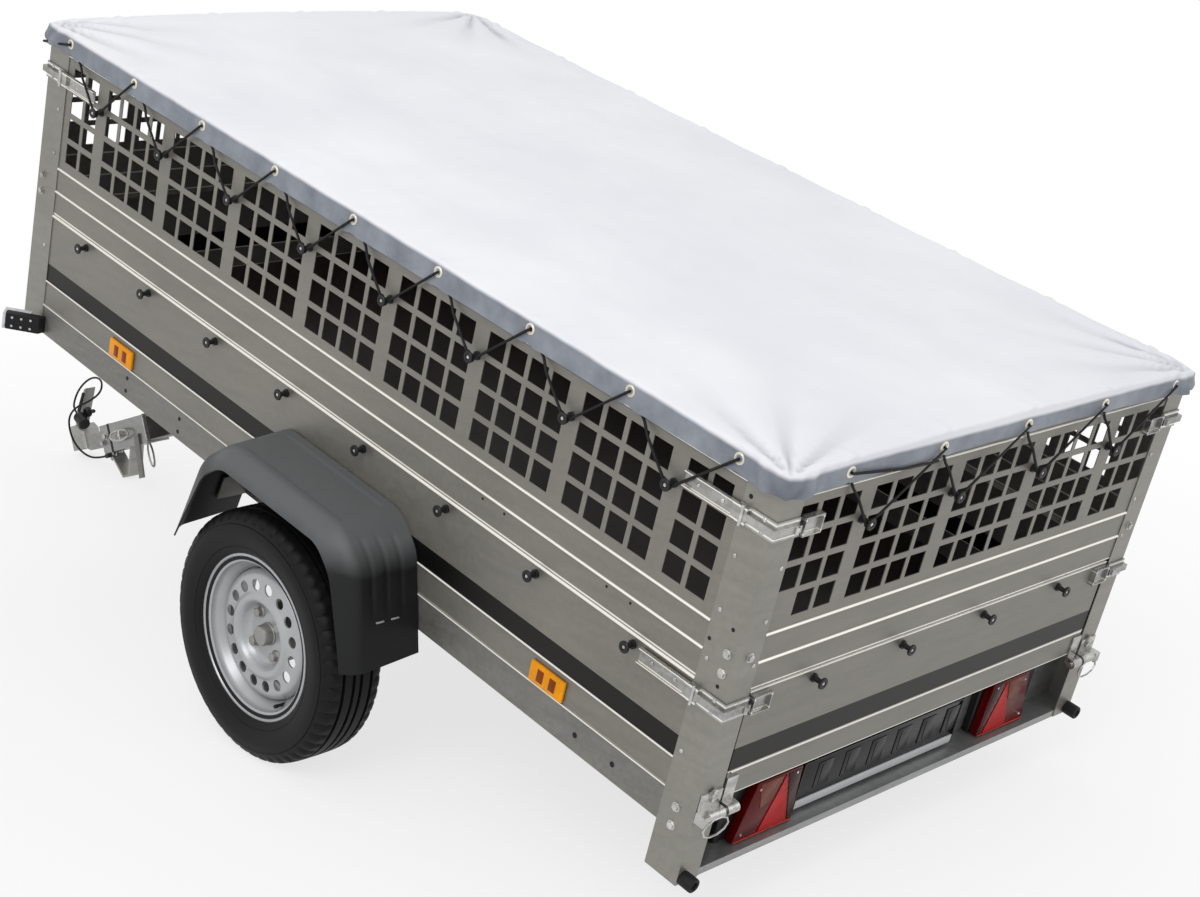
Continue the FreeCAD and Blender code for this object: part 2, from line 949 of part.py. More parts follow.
def rim():
    """The steel rim: flanged barrel with a drop well and a dished disc with round vents."""
    half = rim_width / 2
    w = rim_wall
    seat = rim_seat_radius - fit_gap
    well = rim_well_radius
    profile = [
        (-half, rim_radius),
        (-half, seat - w),
        (-half * barrel_seat_share, seat - w),
        (-half * barrel_well_share, well - w),
        (half * barrel_well_share, well - w),
        (half * barrel_seat_share, seat - w),
        (half, seat - w),
        (half, rim_radius),
        (half - w, rim_radius),
        (half - w, seat),
        (half * barrel_seat_share, seat),
        (half * barrel_well_share, well),
        (-half * barrel_well_share, well),
        (-half * barrel_seat_share, seat),
        (-half + w, seat),
        (-half + w, rim_radius),
    ]
    barrel = turned(profile, wheel_x)
    face = -disc_offset
    step = hub_radius
    disc_profile = [
        (face, 0),
        (face, step),
        (face - disc_offset, step + disc_offset / 2),
        (face - disc_offset, vent_circle + vent_radius + w),
        (face, well - w / 2),
        (face + w, well - w / 2),
        (face - disc_offset + w, vent_circle + vent_radius + w),
        (face - disc_offset + w, step + disc_offset / 2),
        (face + w, step - w),
        (face + w, 0),
    ]
    disc = turned(disc_profile, wheel_x)
    for i in range(vent_count):
        a = math.radians(360 / vent_count * i)
        y = axle_y + vent_circle * math.sin(a)
        z = axle_z + vent_circle * math.cos(a)
        x0 = wheel_x - rim_width / 2
        disc = disc.cut(flat_rod((x0, y, z), (wheel_x, y, z), vent_radius, vent_sides))
    for y, z in nut_places():
        disc = disc.cut(flat_rod((x0, y, z), (wheel_x, y, z), nut_radius + fit_gap, nut_sides))
    disc = disc.cut(rod((x0, axle_y, axle_z), (wheel_x, axle_y, axle_z), cap_radius + fit_gap))
    return fused([barrel, disc])


def nut_places():
    places = []
    for i in range(nut_count):
        a = math.radians(360 / nut_count * (i + 1 / 2))
        places.append((axle_y + nut_circle * math.sin(a), axle_z + nut_circle * math.cos(a)))
    return places


def hub():
    """The hub behind the disc, with the wheel nuts and the grease cap in front of it."""
    face = wheel_x - disc_offset
    back = face + rim_wall + fit_gap
    centre = (axle_y, axle_z)
    drum = rod((back, *centre), (back + hub_length, *centre), hub_radius)
    stub = rod((back, *centre), (face - cap_length, *centre), cap_radius)
    pieces = [drum, stub]
    for y, z in nut_places():
        pieces.append(flat_rod((back, y, z), (face - nut_length, y, z), nut_radius, nut_sides))
    return fused(pieces)


crown_points = [
    (guard_foot_rear, guard_foot_height),
    (guard_shoulder_rear, guard_shoulder_rear_height),
    (guard_top_rear, guard_top_height),
    (guard_top_front, guard_top_height),
    (guard_shoulder_front, guard_shoulder_front_height),
    (guard_foot_front, guard_foot_height),
]
lip_points = [
    (lip_foot_rear, guard_foot_height),
    (lip_shoulder_rear, lip_shoulder_height),
    (lip_top_rear, lip_top_height),
    (lip_top_front, lip_top_height),
    (lip_shoulder_front, lip_shoulder_height),
    (lip_foot_front, guard_foot_height),
]


def inset(points):
    """An arch outline moved inward by the wall, its feet moved down so that the arch stays open."""
    moved = []
    for y, z in points:
        sign = 1 if y < 0 else -1
        foot = z == guard_foot_height
        moved.append((y + sign * guard_wall, z - (overrun if foot else guard_wall)))
    return moved


def arch(outlines):
    """A solid through arch outlines at several distances from the middle plane."""
    wires = []
    for x, rise, points in outlines:
        ring = [V(x, axle_y + y, axle_z + z + rise) for y, z in points]
        wires.append(Part.makePolygon(ring + ring[:1]))
    return Part.makeLoft(wires, True, True)


def mudguard():
    inner_x = left + sheet - bead_proud - fit_gap
    edge_x = left - guard_reach
    lip_x = left - guard_lip_reach
    rise = guard_inner_rise
    crown_in = inset(crown_points)
    lip_in = inset(lip_points)
    top = arch([(inner_x, rise, crown_points), (edge_x, 0, crown_points)])
    flare = arch([(edge_x, 0, crown_points), (lip_x, 0, lip_points)])
    void_top = arch([(inner_x + overrun, rise, crown_in), (edge_x, 0, crown_in)])
    void_flare = arch([(edge_x, 0, crown_in), (lip_x, 0, lip_in)])
    mouth = arch([(lip_x, 0, lip_in), (lip_x - overrun, 0, lip_in)])
    floor_cut = block(inner_x + overrun, lip_x - overrun, axle_y + guard_foot_rear - overrun,
                      axle_y + guard_foot_front + overrun,
                      axle_z + guard_foot_height - guard_inner_rise,
                      axle_z + guard_foot_height)
    shell = top.fuse(flare).cut(void_top).cut(void_flare).cut(mouth)
    return shell.removeSplitter().cut(floor_cut).cut(crown_recess(inner_x, edge_x))


def crown_recess(inner_x, edge_x):
    """The shallow panel pressed into the crown's sloping top."""
    level = axle_z + guard_top_height - recess_depth
    slope = guard_inner_rise / (inner_x - edge_x)
    x0 = edge_x + recess_margin
    x1 = inner_x - recess_margin
    outline = [
        (x0, level + slope * (x0 - edge_x)),
        (x1, level + slope * (x1 - edge_x)),
        (x1, level + guard_top_height),
        (x0, level + guard_top_height),
    ]
    rear = axle_y + guard_top_rear + recess_margin
    front = axle_y + guard_top_front - recess_margin
    return prism_y(outline, rear, front)


def mudguard_stays():
    """Plates from the rail that hold the mudguard's two feet, laid along the inside of its wall."""
    stays = []
    feet = (
        (guard_foot_front, guard_shoulder_front, guard_shoulder_front_height, -1),
        (guard_foot_rear, guard_shoulder_rear, guard_shoulder_rear_height, 1),
    )
    for foot, shoulder, height, inward in feet:
        slope = (shoulder - foot) / (height - guard_foot_height)
        low = guard_foot_height + stay_overlap
        high = low + stay_rise
        off = inward * (guard_wall + fit_gap) * math.hypot(1, slope)
        near = off + inward * stay_thickness
        outline = [
            (foot + slope * (low - guard_foot_height) + off, low),
            (foot + slope * (high - guard_foot_height) + off, high),
            (foot + slope * (high - guard_foot_height) + near, high),
            (foot + slope * (low - guard_foot_height) + near, low),
        ]
        placed = [(axle_y + y, axle_z + z) for y, z in outline]
        stays.append(prism_x(placed, left - guard_reach / 2, left + sheet))
    return stays


def axle_beam():
    half = side - axle_tube_inset
    t = axle_tube / 2
    w = axle_tube_wall
    outer = block(-half, half, axle_tube_y - t, axle_tube_y + t, axle_tube_z - t, axle_tube_z + t)
    inner = block(-half - overrun, half + overrun, axle_tube_y - t + w, axle_tube_y + t - w,
                  axle_tube_z - t + w, axle_tube_z + t - w)
    return outer.cut(inner)


def axle_bracket():
    """The plate that hangs the axle tube from the left rail."""
    x0 = left + sheet + sheet + fit_gap
    x1 = x0 + rail_flange
    top = -fit_gap
    seat = axle_tube_z + axle_tube / 2 + fit_gap
    y0 = axle_tube_y - bracket_length / 2
    y1 = axle_tube_y + bracket_length / 2
    foot = block(x0, left + axle_tube_inset + rail_flange, y0, y1, seat, seat + bracket_thickness)
    web = block(x1, x1 + bracket_thickness, y0, y1, seat, top)
    cap = block(x0, x1 + bracket_thickness, y0, y1, top - bracket_thickness, top)
    return fused([foot, web, cap])


def trailing_arm():
    """The left trailing arm with the spindle that carries the wheel."""
    x1 = left + axle_tube_inset - fit_gap
    x0 = x1 - arm_width
    half = arm_depth / 2
    dy = axle_y - axle_tube_y
    dz = axle_z - axle_tube_z
    length = math.hypot(dy, dz)
    ny = -dz / length * half
    nz = dy / length * half
    outline = [
        (axle_tube_y + ny, axle_tube_z + nz),
        (axle_y + ny, axle_z + nz),
        (axle_y - ny, axle_z - nz),
        (axle_tube_y - ny, axle_tube_z - nz),
    ]
    bar = prism_x(outline, x0, x1)
    ends = [
        rod((x0, axle_y, axle_z), (x1, axle_y, axle_z), half),
        rod((x0, axle_tube_y, axle_tube_z), (x1, axle_tube_y, axle_tube_z), half),
    ]
    hub_back = wheel_x - disc_offset + rim_wall + fit_gap + hub_length
    spindle = rod((hub_back + fit_gap, axle_y, axle_z), (x1, axle_y, axle_z), spindle_radius)
    return fused([bar] + ends + [spindle])


def pivot_carrier():
    """The cross-member that the ears hang from, with the ears and the pin."""
    reach = side - sheet - sheet
    half = ear_width / 2
    z1 = rail_height - sheet
    z0 = z1 - cross_height
    top = block(-reach, reach, pivot_y - half, pivot_y + half, z1 - sheet, z1)
    front = block(-reach, reach, pivot_y + half - sheet, pivot_y + half, z0, z1)
    rear = block(-reach, reach, pivot_y - half, pivot_y - half + sheet, z0, z1)
    base = block(-reach, reach, pivot_y - half, pivot_y + half, z0, z0 + sheet)
    hollow = fused([top, front, rear, base])
    inner = beam_width / 2 + ear_gap
    ears = []
    for sign in (-1, 1):
        x0 = sign * inner
        x1 = sign * (inner + ear_thickness)
        ears.append(block(x0, x1, pivot_y - half, pivot_y + half, pivot_z, z0))
        ears.append(rod((x0, pivot_y, pivot_z), (x1, pivot_y, pivot_z), half))
    end = inner + ear_thickness + pin_head_length
    pin = rod((-end, pivot_y, pivot_z), (end, pivot_y, pivot_z), pivot_pin_radius)
    heads = []
    for sign in (-1, 1):
        a = sign * (inner + ear_thickness)
        heads.append(rod((a, pivot_y, pivot_z), (sign * end, pivot_y, pivot_z), pin_head_radius))
    return fused([hollow] + ears + [pin] + heads)


def draw(shape):
    """Swings a drawbar piece, drawn level along +y from the pivot, to its parked angle."""
    moved = shape.copy()
    moved.translate(V(0, pivot_y, pivot_z))
    moved.rotate(V(0, pivot_y, pivot_z), V(1, 0, 0), -drawbar_angle)
    return moved


def drawbar_beam():
    """The rear part: a channel open to the left, with an eye for the pivot pin."""
    half = beam_width / 2
    high = beam_height / 2
    w = beam_wall
    outer = block(-half, half, -beam_tail, beam_length, -high, high)
    hollow = block(-half - overrun, half - w, beam_tail + w, nose_start - w, -high + w, high - w)
    bore = rod((-half - overrun, 0, 0), (half + overrun, 0, 0), pivot_pin_radius + fit_gap)
    core = block(-half + w, half - w, -beam_tail - overrun, nose_start - w, -high + w, high - w)
    eye = rod((-half, 0, 0), (half, 0, 0), pivot_pin_radius + pivot_eye_wall)
    shell = outer.cut(core).cut(hollow)
    return fused([shell, eye]).cut(bore)


def drawbar_nose():
    """The front part: a box that sleeves over the channel and takes the coupling, with a loop of
    wire under its rear end."""
    half = beam_width / 2 + fit_gap
    high = beam_height / 2 + fit_gap
    w = nose_wall
    outer = block(-half - w, half + w, nose_start, nose_end, -high - w, high + w)
    inner = block(-half, half, nose_start - overrun, nose_end + overrun, -high, high)
    hang = -high - w - safety_loop_high + tilt_wire
    loop = wire_loop((0, safety_loop_along, hang), (0, safety_loop_wide, 0), (0, 0, safety_loop_high),
                     tilt_loop_sides, tilt_wire)
    return fused([outer.cut(inner)] + [bar.cut(inner) for bar in loop])


def stand():
    """The bent flat bar under the nose that the parked trailer rests on."""
    half = stand_width / 2
    top = -beam_height / 2 - nose_wall - fit_gap - fit_gap
    foot = -stand_depth
    t = stand_thickness
    outline = [
        (stand_front_top, top),
        (stand_front_foot, foot),
        (stand_rear_foot, foot),
        (stand_rear_top, top),
        (stand_rear_top + t, top),
        (stand_rear_foot + t, foot + t),
        (stand_front_foot - t, foot + t),
        (stand_front_top - t, top),
    ]
    return prism_x(outline, -half, half)


def side_leg():
    """A flat leg on the nose's left face, leaning a little forward to its foot."""
    x1 = -beam_width / 2 - fit_gap - nose_wall - fit_gap
    x0 = x1 - leg_thickness
    half = leg_width / 2
    top = -beam_height / 8
    outline = [
        (leg_place - half, top),
        (leg_place + half, top),
        (leg_place + leg_lean + half, -leg_drop),
        (leg_place + leg_lean - half, -leg_drop),
    ]
    return prism_x(outline, x0, x1)


def coupling():
    """The pressed coupling head: a tail that bolts into the nose, a neck, and a domed head with the
    socket for the ball."""
    profile = [
        (coupling_tail, neck_low),
        (neck_end, neck_low),
        (socket_centre - head_half, head_low),
        (head_front, head_low),
        (head_front, head_front_rise),
        (head_top_end, head_top),
        (head_top_start, head_top),
        (neck_end, neck_high),
        (coupling_tail, neck_high),
    ]
    side_view = prism_x(profile, -head_half, head_half)
    top = head_top + overrun
    low = neck_low - overrun
    tail = block(-beam_width / 2, beam_width / 2, coupling_tail, nose_end, low, top)
    neck = block(-neck_half, neck_half, coupling_tail, socket_centre, low, top)
    reach = head_front - socket_centre
    round_front = rod((0, socket_centre, low), (0, socket_centre, top), reach)
    front = block(-head_half, head_half, neck_end, head_front, low, top)
    plan = fused([tail, neck, round_front.common(front)])
    ball = Part.makeSphere(ball_radius + fit_gap, V(0, socket_centre, socket_rise))
    throat = rod((0, socket_centre, socket_rise), (0, socket_centre, low), ball_radius + fit_gap)
    return side_view.common(plan).cut(ball).cut(throat)


def coupling_handle():
    """The raised locking handle: a bent grip that leans back over the neck."""
    base_z = head_top + fit_gap
    half = handle_width / 2
    t = handle_thickness
    outline = [
        (handle_base_along, base_z),
        (handle_base_along + t + t, base_z),
        (handle_elbow_along + t + t, handle_elbow_rise),
        (handle_tip_along + t, handle_tip_rise),
        (handle_tip_along, handle_tip_rise),
        (handle_elbow_along, handle_elbow_rise),
    ]
    return prism_x(outline, -half, half)


def tilt_lock():
    """The lock pin through the nose's left face, with the long wire loop that pulls it."""
    face = -beam_width / 2 - fit_gap - nose_wall - fit_gap
    out = face - tilt_pin_out
    pin = rod((out, tilt_pin_along, 0), (face, tilt_pin_along, 0), tilt_pin_radius)
    centre = (out + tilt_wire, tilt_pin_along, 0)
    loop = wire_loop(centre, (0, tilt_loop_wide, 0), (0, 0, tilt_loop_high), tilt_loop_sides, tilt_wire)
    bar = flat_rod((out + tilt_wire, tilt_pin_along, -tilt_loop_high),
                   (out + tilt_wire, tilt_pin_along, tilt_loop_high), tilt_wire, wire_sides)
    return fused([pin, bar] + loop)


# The lead's route in the drawbar's own frame: across, along and up
lead_route = [
    (-31.0, 1148.0, -48.6),
    (-33.0, 1190.0, -48.6),
    (-40.0, 1236.0, -38.0),
    (-54.0, 1264.0, -4.0),
    (-66.0, 1266.0, 42.0),
    (-72.0, 1246.0, 88.0),
    (-68.0, 1200.0, 112.0),
    (-50.0, 1150.0, 118.0),
    (-26.0, 1114.0, 136.0),
    (-8.0, 1122.0, 168.0),
    (4.0, 1168.0, 188.0),
    (6.0, 1222.0, 190.0),
    (-8.0, 1264.0, 168.0),
    (-28.0, 1276.0, 130.0),
    (-42.0, 1254.0, 106.0),
    (-48.0, 1226.0, 84.0),
]


def draw_point(p):
    """A point in the drawbar's own frame, moved to where it lies with the bed level."""
    a = math.radians(-drawbar_angle)
    x, along, up = p
    y = pivot_y + along * math.cos(a) - up * math.sin(a)
    z = pivot_z + along * math.sin(a) + up * math.cos(a)
    return V(x, y, z)


def cord_tube(points, radius):
    """A round tube along straight runs joined by tangent arcs; prints its radii and length."""
    edges = []
    radii = []
    at = points[0]
    for before, corner, after in zip(points, points[1:], points[2:]):
        a = (before - corner)
        b = (after - corner)
        shorter = min(a.Length, b.Length)
        a.normalize()
        b.normalize()
        turn = math.pi - math.acos(max(-1.0, min(1.0, a.dot(b))))
        cut = 0.45 * shorter
        radii.append(cut / math.tan(turn / 2))
        start = corner + a * cut
        end = corner + b * cut
        bisector = a + b
        bisector.normalize()
        reach = radii[-1] / math.cos(turn / 2)
        middle = corner + bisector * (reach - radii[-1])
        edges.append(Part.LineSegment(at, start).toShape())
        edges.append(Part.Arc(start, middle, end).toShape())
        at = end
    edges.append(Part.LineSegment(at, points[-1]).toShape())
    path = Part.Wire(edges)
    ring = Part.Wire([Part.Circle(points[0], points[1] - points[0], radius).toShape()])
    tube = path.makePipeShell([ring], True, False, 2)
    print("lead: length", round(path.Length, 1), "radii", [round(r) for r in radii])
    print("lead: volume", round(tube.Volume), "of", round(math.pi * radius**2 * path.Length))
    return tube


def lead():
    return cord_tube([draw_point(p) for p in lead_route], lead_radius)


def lead_gland():
    start = draw_point(lead_route[0])
    ahead = draw_point(lead_route[1]) - start
    ahead.normalize()
    return Part.makeCylinder(gland_radius, gland_length, start - ahead * gland_length, ahead)


def lead_plug():
    end = draw_point(lead_route[-1])
    ahead = end - draw_point(lead_route[-2])
    ahead.normalize()
    return Part.makeCylinder(plug_radius, plug_length, end, ahead)


def build_nodes():
    guard = mudguard()
    stay_parts = mudguard_stays()
    front_face = box_length - tailgate_setback
    rear_gate = end_mesh(sheet + fit_gap, -1, tailgate_bottom + tailgate_rise + gate_top_gap)
    nodes = {
        "side_rails": both_sides(side_rail()),
        "cross_members": joined([cross_member(y) for y in cross_places()]),
        "pivot_carrier": pivot_carrier(),
        "rear_channel": rear_channel(),
        "floor_panel": block(-side + sheet + sheet + fit_gap, side - sheet - sheet - fit_gap,
                             tailgate_setback + tailgate_depth + tailgate_gap,
                             box_length - sheet - sheet - sheet, rail_height, rail_height + floor_thickness),
        "side_board_left": side_sheet(rail_height, board_top, [rail_height + bead_height / 2, rib_lower,
                                                               board_top - bead_height / 2]),
        "front_board": end_sheet(front_face - fit_gap, 1, -0.0, board_top,
                                 [rail_height + bead_height / 2, rib_lower, board_top - bead_height / 2]),
        "posts_lower": corner_posts(-post_drop, 0, post_joint),
        "posts_upper": corner_posts(post_joint, post_joint, box_height),
        "mesh_left": side_mesh(),
        "mesh_front": end_mesh(front_face - fit_gap, 1, board_top),
        "mesh_rear": rear_gate,
        "cover": cover(),
        "cover_rope": joined([rope_wall(place_on, hooks_of(), share)
                              for place_on, hooks_of, share in roped_walls]),
        "hooks": joined(side_hooks() + [mirrored(h) for h in side_hooks()]
                        + end_hooks(sheet + fit_gap, -1, (mesh_hook_height,))
                        + end_hooks(front_face - fit_gap, 1, (hook_height, mesh_hook_height))),
        "corner_latches": corner_latches(),
        "tailgate_pins": both_sides(tailgate_hinge()),
        "lamp_left": lamp(left + lamp_from_side, 1),
        "lamp_right": lamp(side - lamp_from_side, -1),
        "number_plate": number_plate(),
        "marker_arms": both_sides(marker_arm()),
        "marker_lenses": both_sides(marker_lens()),
        "side_reflectors": reflectors(),
        "rear_buffers": both_sides(rear_buffer()),
        "axle_beam": axle_beam(),
        "axle_brackets": both_sides(axle_bracket()),
        "trailing_arms": both_sides(trailing_arm()),
        "mudguard_left": guard,
        "mudguard_right": mirrored(guard),
        "mudguard_stays": joined(stay_parts + [mirrored(s) for s in stay_parts]),
        "tyre_left": tyre(),
        "rim_left": rim(),
        "hub_left": hub(),
        "tailgate_panel": tailgate_panel(),
        "tailgate_straps": both_sides(tailgate_strap(strap_x)),
        "tailgate_keepers": gate_keepers(),
        "tailgate_hooks": joined(end_hooks(tailgate_setback, -1, (hook_height,))),
        "drawbar_beam": draw(drawbar_beam()),
        "drawbar_nose": draw(drawbar_nose()),
        "drawbar_stand": draw(stand()),
        "side_leg": draw(side_leg()),
        "coupling_head": draw(coupling()),
        "coupling_handle": draw(coupling_handle()),
        "tilt_lock": draw(tilt_lock()),
        "lead": lead(),
        "lead_gland": lead_gland(),
        "lead_plug": lead_plug(),
    }
    nodes["side_board_right"] = mirrored(nodes["side_board_left"])
    nodes["mesh_right"] = mirrored(nodes["mesh_left"])
    nodes["tyre_right"] = mirrored(nodes["tyre_left"])
    nodes["rim_right"] = mirrored(nodes["rim_left"])
    nodes["hub_right"] = mirrored(nodes["hub_left"])
    return nodes


cord_names = ("lead", "lead_gland", "lead_plug")


def park_angle():
    """How far the bed tips nose up, in degrees, so that the stand's foot meets the wheels' floor."""
    a = math.radians(drawbar_angle)
    y = pivot_y - axle_y + stand_front_foot * math.cos(a) - stand_depth * math.sin(a)
    z = pivot_z - axle_z - stand_front_foot * math.sin(a) - stand_depth * math.cos(a)
    reach = math.hypot(y, z)
    return math.degrees(-math.asin(tyre_radius / reach) - math.atan2(z, y))


def tipped(shape, angle):
    moved = shape.copy()
    moved.rotate(V(0, axle_y, axle_z), V(1, 0, 0), angle)
    return moved


def parked_shift(nodes):
    """The shift that puts the origin at the bottom centre of the box round the parked trailer."""
    box = FreeCAD.BoundBox()
    for name, shape in nodes.items():
        if name not in cord_names:
            box.add(shape.optimalBoundingBox(False))
    floor = axle_z - tyre_radius
    return V(0, -(box.YMin + box.YMax) / 2, -floor), box


def main():
    os.makedirs("parts", exist_ok=True)
    angle = park_angle()
    nodes = {name: tipped(shape, angle) for name, shape in build_nodes().items()}
    shift, box = parked_shift(nodes)
    print("park angle", round(angle, 3), "shift", shift, "lowest", round(box.ZMin + shift.z, 2))
    for name, shape in nodes.items():
        shape.translate(shift)
        if not shape.isValid():
            print("not valid:", name)
        shape.exportStep(f"parts/{name}.step")
    return nodes


built = main()
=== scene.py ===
import bpy
import json
from math import atan2, copysign, cos, exp, hypot, inf, pi, radians, sin
from mathutils import Matrix, Vector, noise


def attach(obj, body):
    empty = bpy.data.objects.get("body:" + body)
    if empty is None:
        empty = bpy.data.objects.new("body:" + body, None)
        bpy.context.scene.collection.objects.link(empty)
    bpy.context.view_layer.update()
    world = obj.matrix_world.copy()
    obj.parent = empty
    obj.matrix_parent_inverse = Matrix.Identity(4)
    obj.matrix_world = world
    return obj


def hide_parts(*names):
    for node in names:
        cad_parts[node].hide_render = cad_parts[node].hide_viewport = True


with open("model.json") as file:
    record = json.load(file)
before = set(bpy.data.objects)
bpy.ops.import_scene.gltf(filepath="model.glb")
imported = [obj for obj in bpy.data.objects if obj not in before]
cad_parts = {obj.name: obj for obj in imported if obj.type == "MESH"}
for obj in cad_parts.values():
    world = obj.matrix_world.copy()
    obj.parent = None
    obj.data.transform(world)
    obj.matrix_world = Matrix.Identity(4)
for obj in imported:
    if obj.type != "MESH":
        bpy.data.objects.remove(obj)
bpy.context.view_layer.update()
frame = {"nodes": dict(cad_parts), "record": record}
record = frame["record"]
nodes = frame["nodes"]
scene = bpy.context.scene
bpy.ops.object.select_all(action="DESELECT")
scene.view_settings.view_transform = "Standard"

# Where the trailer stands.  Everything is modelled in millimetres on the level bed, with x = 0 on
# the middle plane, y from the rear face and z from the rails' lower edge; the drawbar's pieces have
# y along it from its pivot.  PARK tips the bed as it stands; SWING does the drawbar.
joints = {joint["name"]: joint for joint in record["behaviour"]["joints"]}
mounts = {mount["name"]: mount for mount in record["mounts"]}
plate_axis = Vector(mounts["number_plate_face"]["axis"])
axle_row = Vector(joints["wheel_left_spin"]["pos_m"])
axle_row.x = 0.0
AXLE = Vector((0.0, 1096.0, -168.0))
PIVOT = Vector((0.0, 1880.0, -48.0))
SIDE = 645.0
LENGTH = 2330.0
tipped = Matrix.Rotation(atan2(-plate_axis.z, -plate_axis.y), 4, "X")
swung = Matrix.Rotation(radians(joints["bed_tilt"]["range_deg"][0]), 4, "X")
PARK = Matrix.Translation(axle_row) @ tipped @ Matrix.Scale(0.001, 4) @ Matrix.Translation(-AXLE)
SWING = PARK @ Matrix.Translation(PIVOT) @ swung

# The camera stands left of the trailer and behind it, above its cover, and is turned with the
# parked bed.
camera_data = bpy.data.cameras.new("camera")
camera_data.lens = 61.785
camera_data.sensor_width = 36.0
camera_data.sensor_fit = "HORIZONTAL"
camera = bpy.data.objects.new("camera", camera_data)
scene.collection.objects.link(camera)
to_right = Vector((0.70719564, -0.67544916, 0.2089085)).normalized()
ahead = Vector((0.68875489, 0.59144197, -0.41930073)).normalized()
view_turn = Matrix((to_right, to_right.cross(ahead), -ahead)).transposed().to_4x4()
camera_place = PARK @ Vector((-3183.4, -1765.3, 2138.1))
camera.matrix_world = Matrix.Translation(camera_place) @ tipped @ view_turn
scene.camera = camera

# The electric lead: a black round cable that leaves its gland at the nose's front end, loops up
# beside the raised handle and over itself, and ends in the plug parked above the neck.
LEAD_ROUTE = [
    (-31, 1148, -48.6), (-33, 1190, -48.6), (-40, 1236, -38), (-54, 1264, -4),
    (-66, 1266, 42), (-72, 1246, 88), (-68, 1200, 112), (-50, 1150, 118),
    (-26, 1114, 136), (-8, 1122, 168), (4, 1168, 188), (6, 1222, 190),
    (-8, 1264, 168), (-28, 1276, 130), (-42, 1254, 106), (-48, 1226, 84),
]
LEAD_DIAMETER = 0.006


def round_line(name, kind, runs, radius, facets):
    """A round line drawn along runs of places; its thickness comes from each point's radius."""
    data = bpy.data.curves.new(name, "CURVE")
    data.dimensions = "3D"
    data.bevel_depth = 1.0
    data.bevel_resolution = facets
    data.use_fill_caps = True
    for run in runs:
        spline = data.splines.new(kind)
        spline.points.add(len(run) - 1)
        for point, place in zip(spline.points, run):
            point.co = (*place, 1.0)
            point.radius = radius
    line = bpy.data.objects.new(name, data)
    scene.collection.objects.link(line)
    return line


lead_places = [SWING @ Vector(place) for place in LEAD_ROUTE]
lead_line = round_line("lead_cable", "NURBS", [lead_places], LEAD_DIAMETER / 2, 4)
lead_spline = lead_line.data.splines[0]
lead_spline.order_u = 3
lead_spline.use_endpoint_u = True
lead_spline.resolution_u = 12
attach(lead_line, "drawbar")
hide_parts("lead")


# Folded and pressed sheet steel: boards, square-holed upper walls and corner posts, hot-dip
# galvanised, so a warm grey with faint spangle.  Along every fold and bead crest a near-white
# highlight is painted into the colour, and each board has a dark painted stripe.  Latches and pins
# are bright zinc, whose mottling from dark grey to near white is partly painted reflection.
class Value:
    """A socket of a finish; arithmetic on it adds Math nodes."""

    def __init__(self, finish, socket):
        self.finish = finish
        self.socket = socket

    def math(self, operation, first, second):
        return self.finish.add("ShaderNodeMath", {"operation": operation}, {0: first, 1: second})

    def __add__(self, other):
        return self.math("ADD", self, other)

    __radd__ = __add__

    def __sub__(self, other):
        return self.math("SUBTRACT", self, other)

    def __rsub__(self, other):
        return self.math("SUBTRACT", other, self)

    def __mul__(self, other):
        return self.math("MULTIPLY", self, other)

    __rmul__ = __mul__

    def __gt__(self, other):
        return self.math("GREATER_THAN", self, other)

    def __lt__(self, other):
        return self.math("LESS_THAN", self, other)

    def __abs__(self):
        return self.math("ABSOLUTE", self, 0.0)


class Finish:
    """A material under construction: its shader and the nodes that feed it."""

    def __init__(self, name, **fixed):
        self.material = bpy.data.materials.new(name)
        self.material.use_nodes = True
        self.tree = self.material.node_tree
        self.shader = self.tree.nodes["Principled BSDF"]
        for socket, value in fixed.items():
            self.shader.inputs[socket.replace("_", " ")].default_value = value

    def add(self, kind, settings=None, inputs=None, out=0):
        node = self.tree.nodes.new(kind)
        for key, value in (settings or {}).items():
            setattr(node, key, value)
        for key, value in (inputs or {}).items():
            self.feed(node.inputs[key], value)
        return Value(self, node.outputs[out])

    def feed(self, socket, value):
        if isinstance(value, Value):
            self.tree.links.new(value.socket, socket)
        else:
            socket.default_value = value

    def set(self, socket, value):
        self.feed(self.shader.inputs[socket], value)

    def place(self, to_level=None):
        """Object coordinates, turned into millimetres of a level frame where a matrix is given."""
        coordinates = self.add("ShaderNodeTexCoord", out="Object")
        if to_level is None:
            return coordinates
        moved = to_level.inverted()
        return self.add("ShaderNodeMapping", {}, {
            "Vector": coordinates, "Location": moved.to_translation(),
            "Rotation": moved.to_euler(), "Scale": moved.to_scale()})

    def axes(self, place):
        split = self.add("ShaderNodeSeparateXYZ", {}, {0: place}).socket.node
        return [Value(self, socket) for socket in split.outputs]

    def noise(self, place, scale, detail=3.0):
        return self.add("ShaderNodeTexNoise", {}, {
            "Vector": place, "Scale": scale, "Detail": detail, "Roughness": 0.55})

    def stretched(self, place, scale):
        return self.add("ShaderNodeVectorMath", {"operation": "MULTIPLY"}, {0: place, 1: scale})

    def mix(self, factor, first, second):
        return self.add("ShaderNodeMix", {"data_type": "RGBA"}, {0: factor, 6: first, 7: second}, out=2)

    def ramp(self, value, low, high):
        """The value stretched so that low becomes 0 and high becomes 1, held between them."""
        return self.add("ShaderNodeMapRange", {"clamp": True},
                        {"Value": value, "From Min": low, "From Max": high})

    def bump(self, height, strength, distance):
        self.set("Normal", self.add("ShaderNodeBump", {}, {
            "Height": height, "Strength": strength, "Distance": distance}))


def rgb(r, g, b):
    """A colour picked on screen, 0 to 255, as the shader's linear one."""
    def linear(c):
        c /= 255
        return c / 12.92 if c <= 0.04045 else ((c + 0.055) / 1.055) ** 2.4
    return (linear(r), linear(g), linear(b), 1.0)


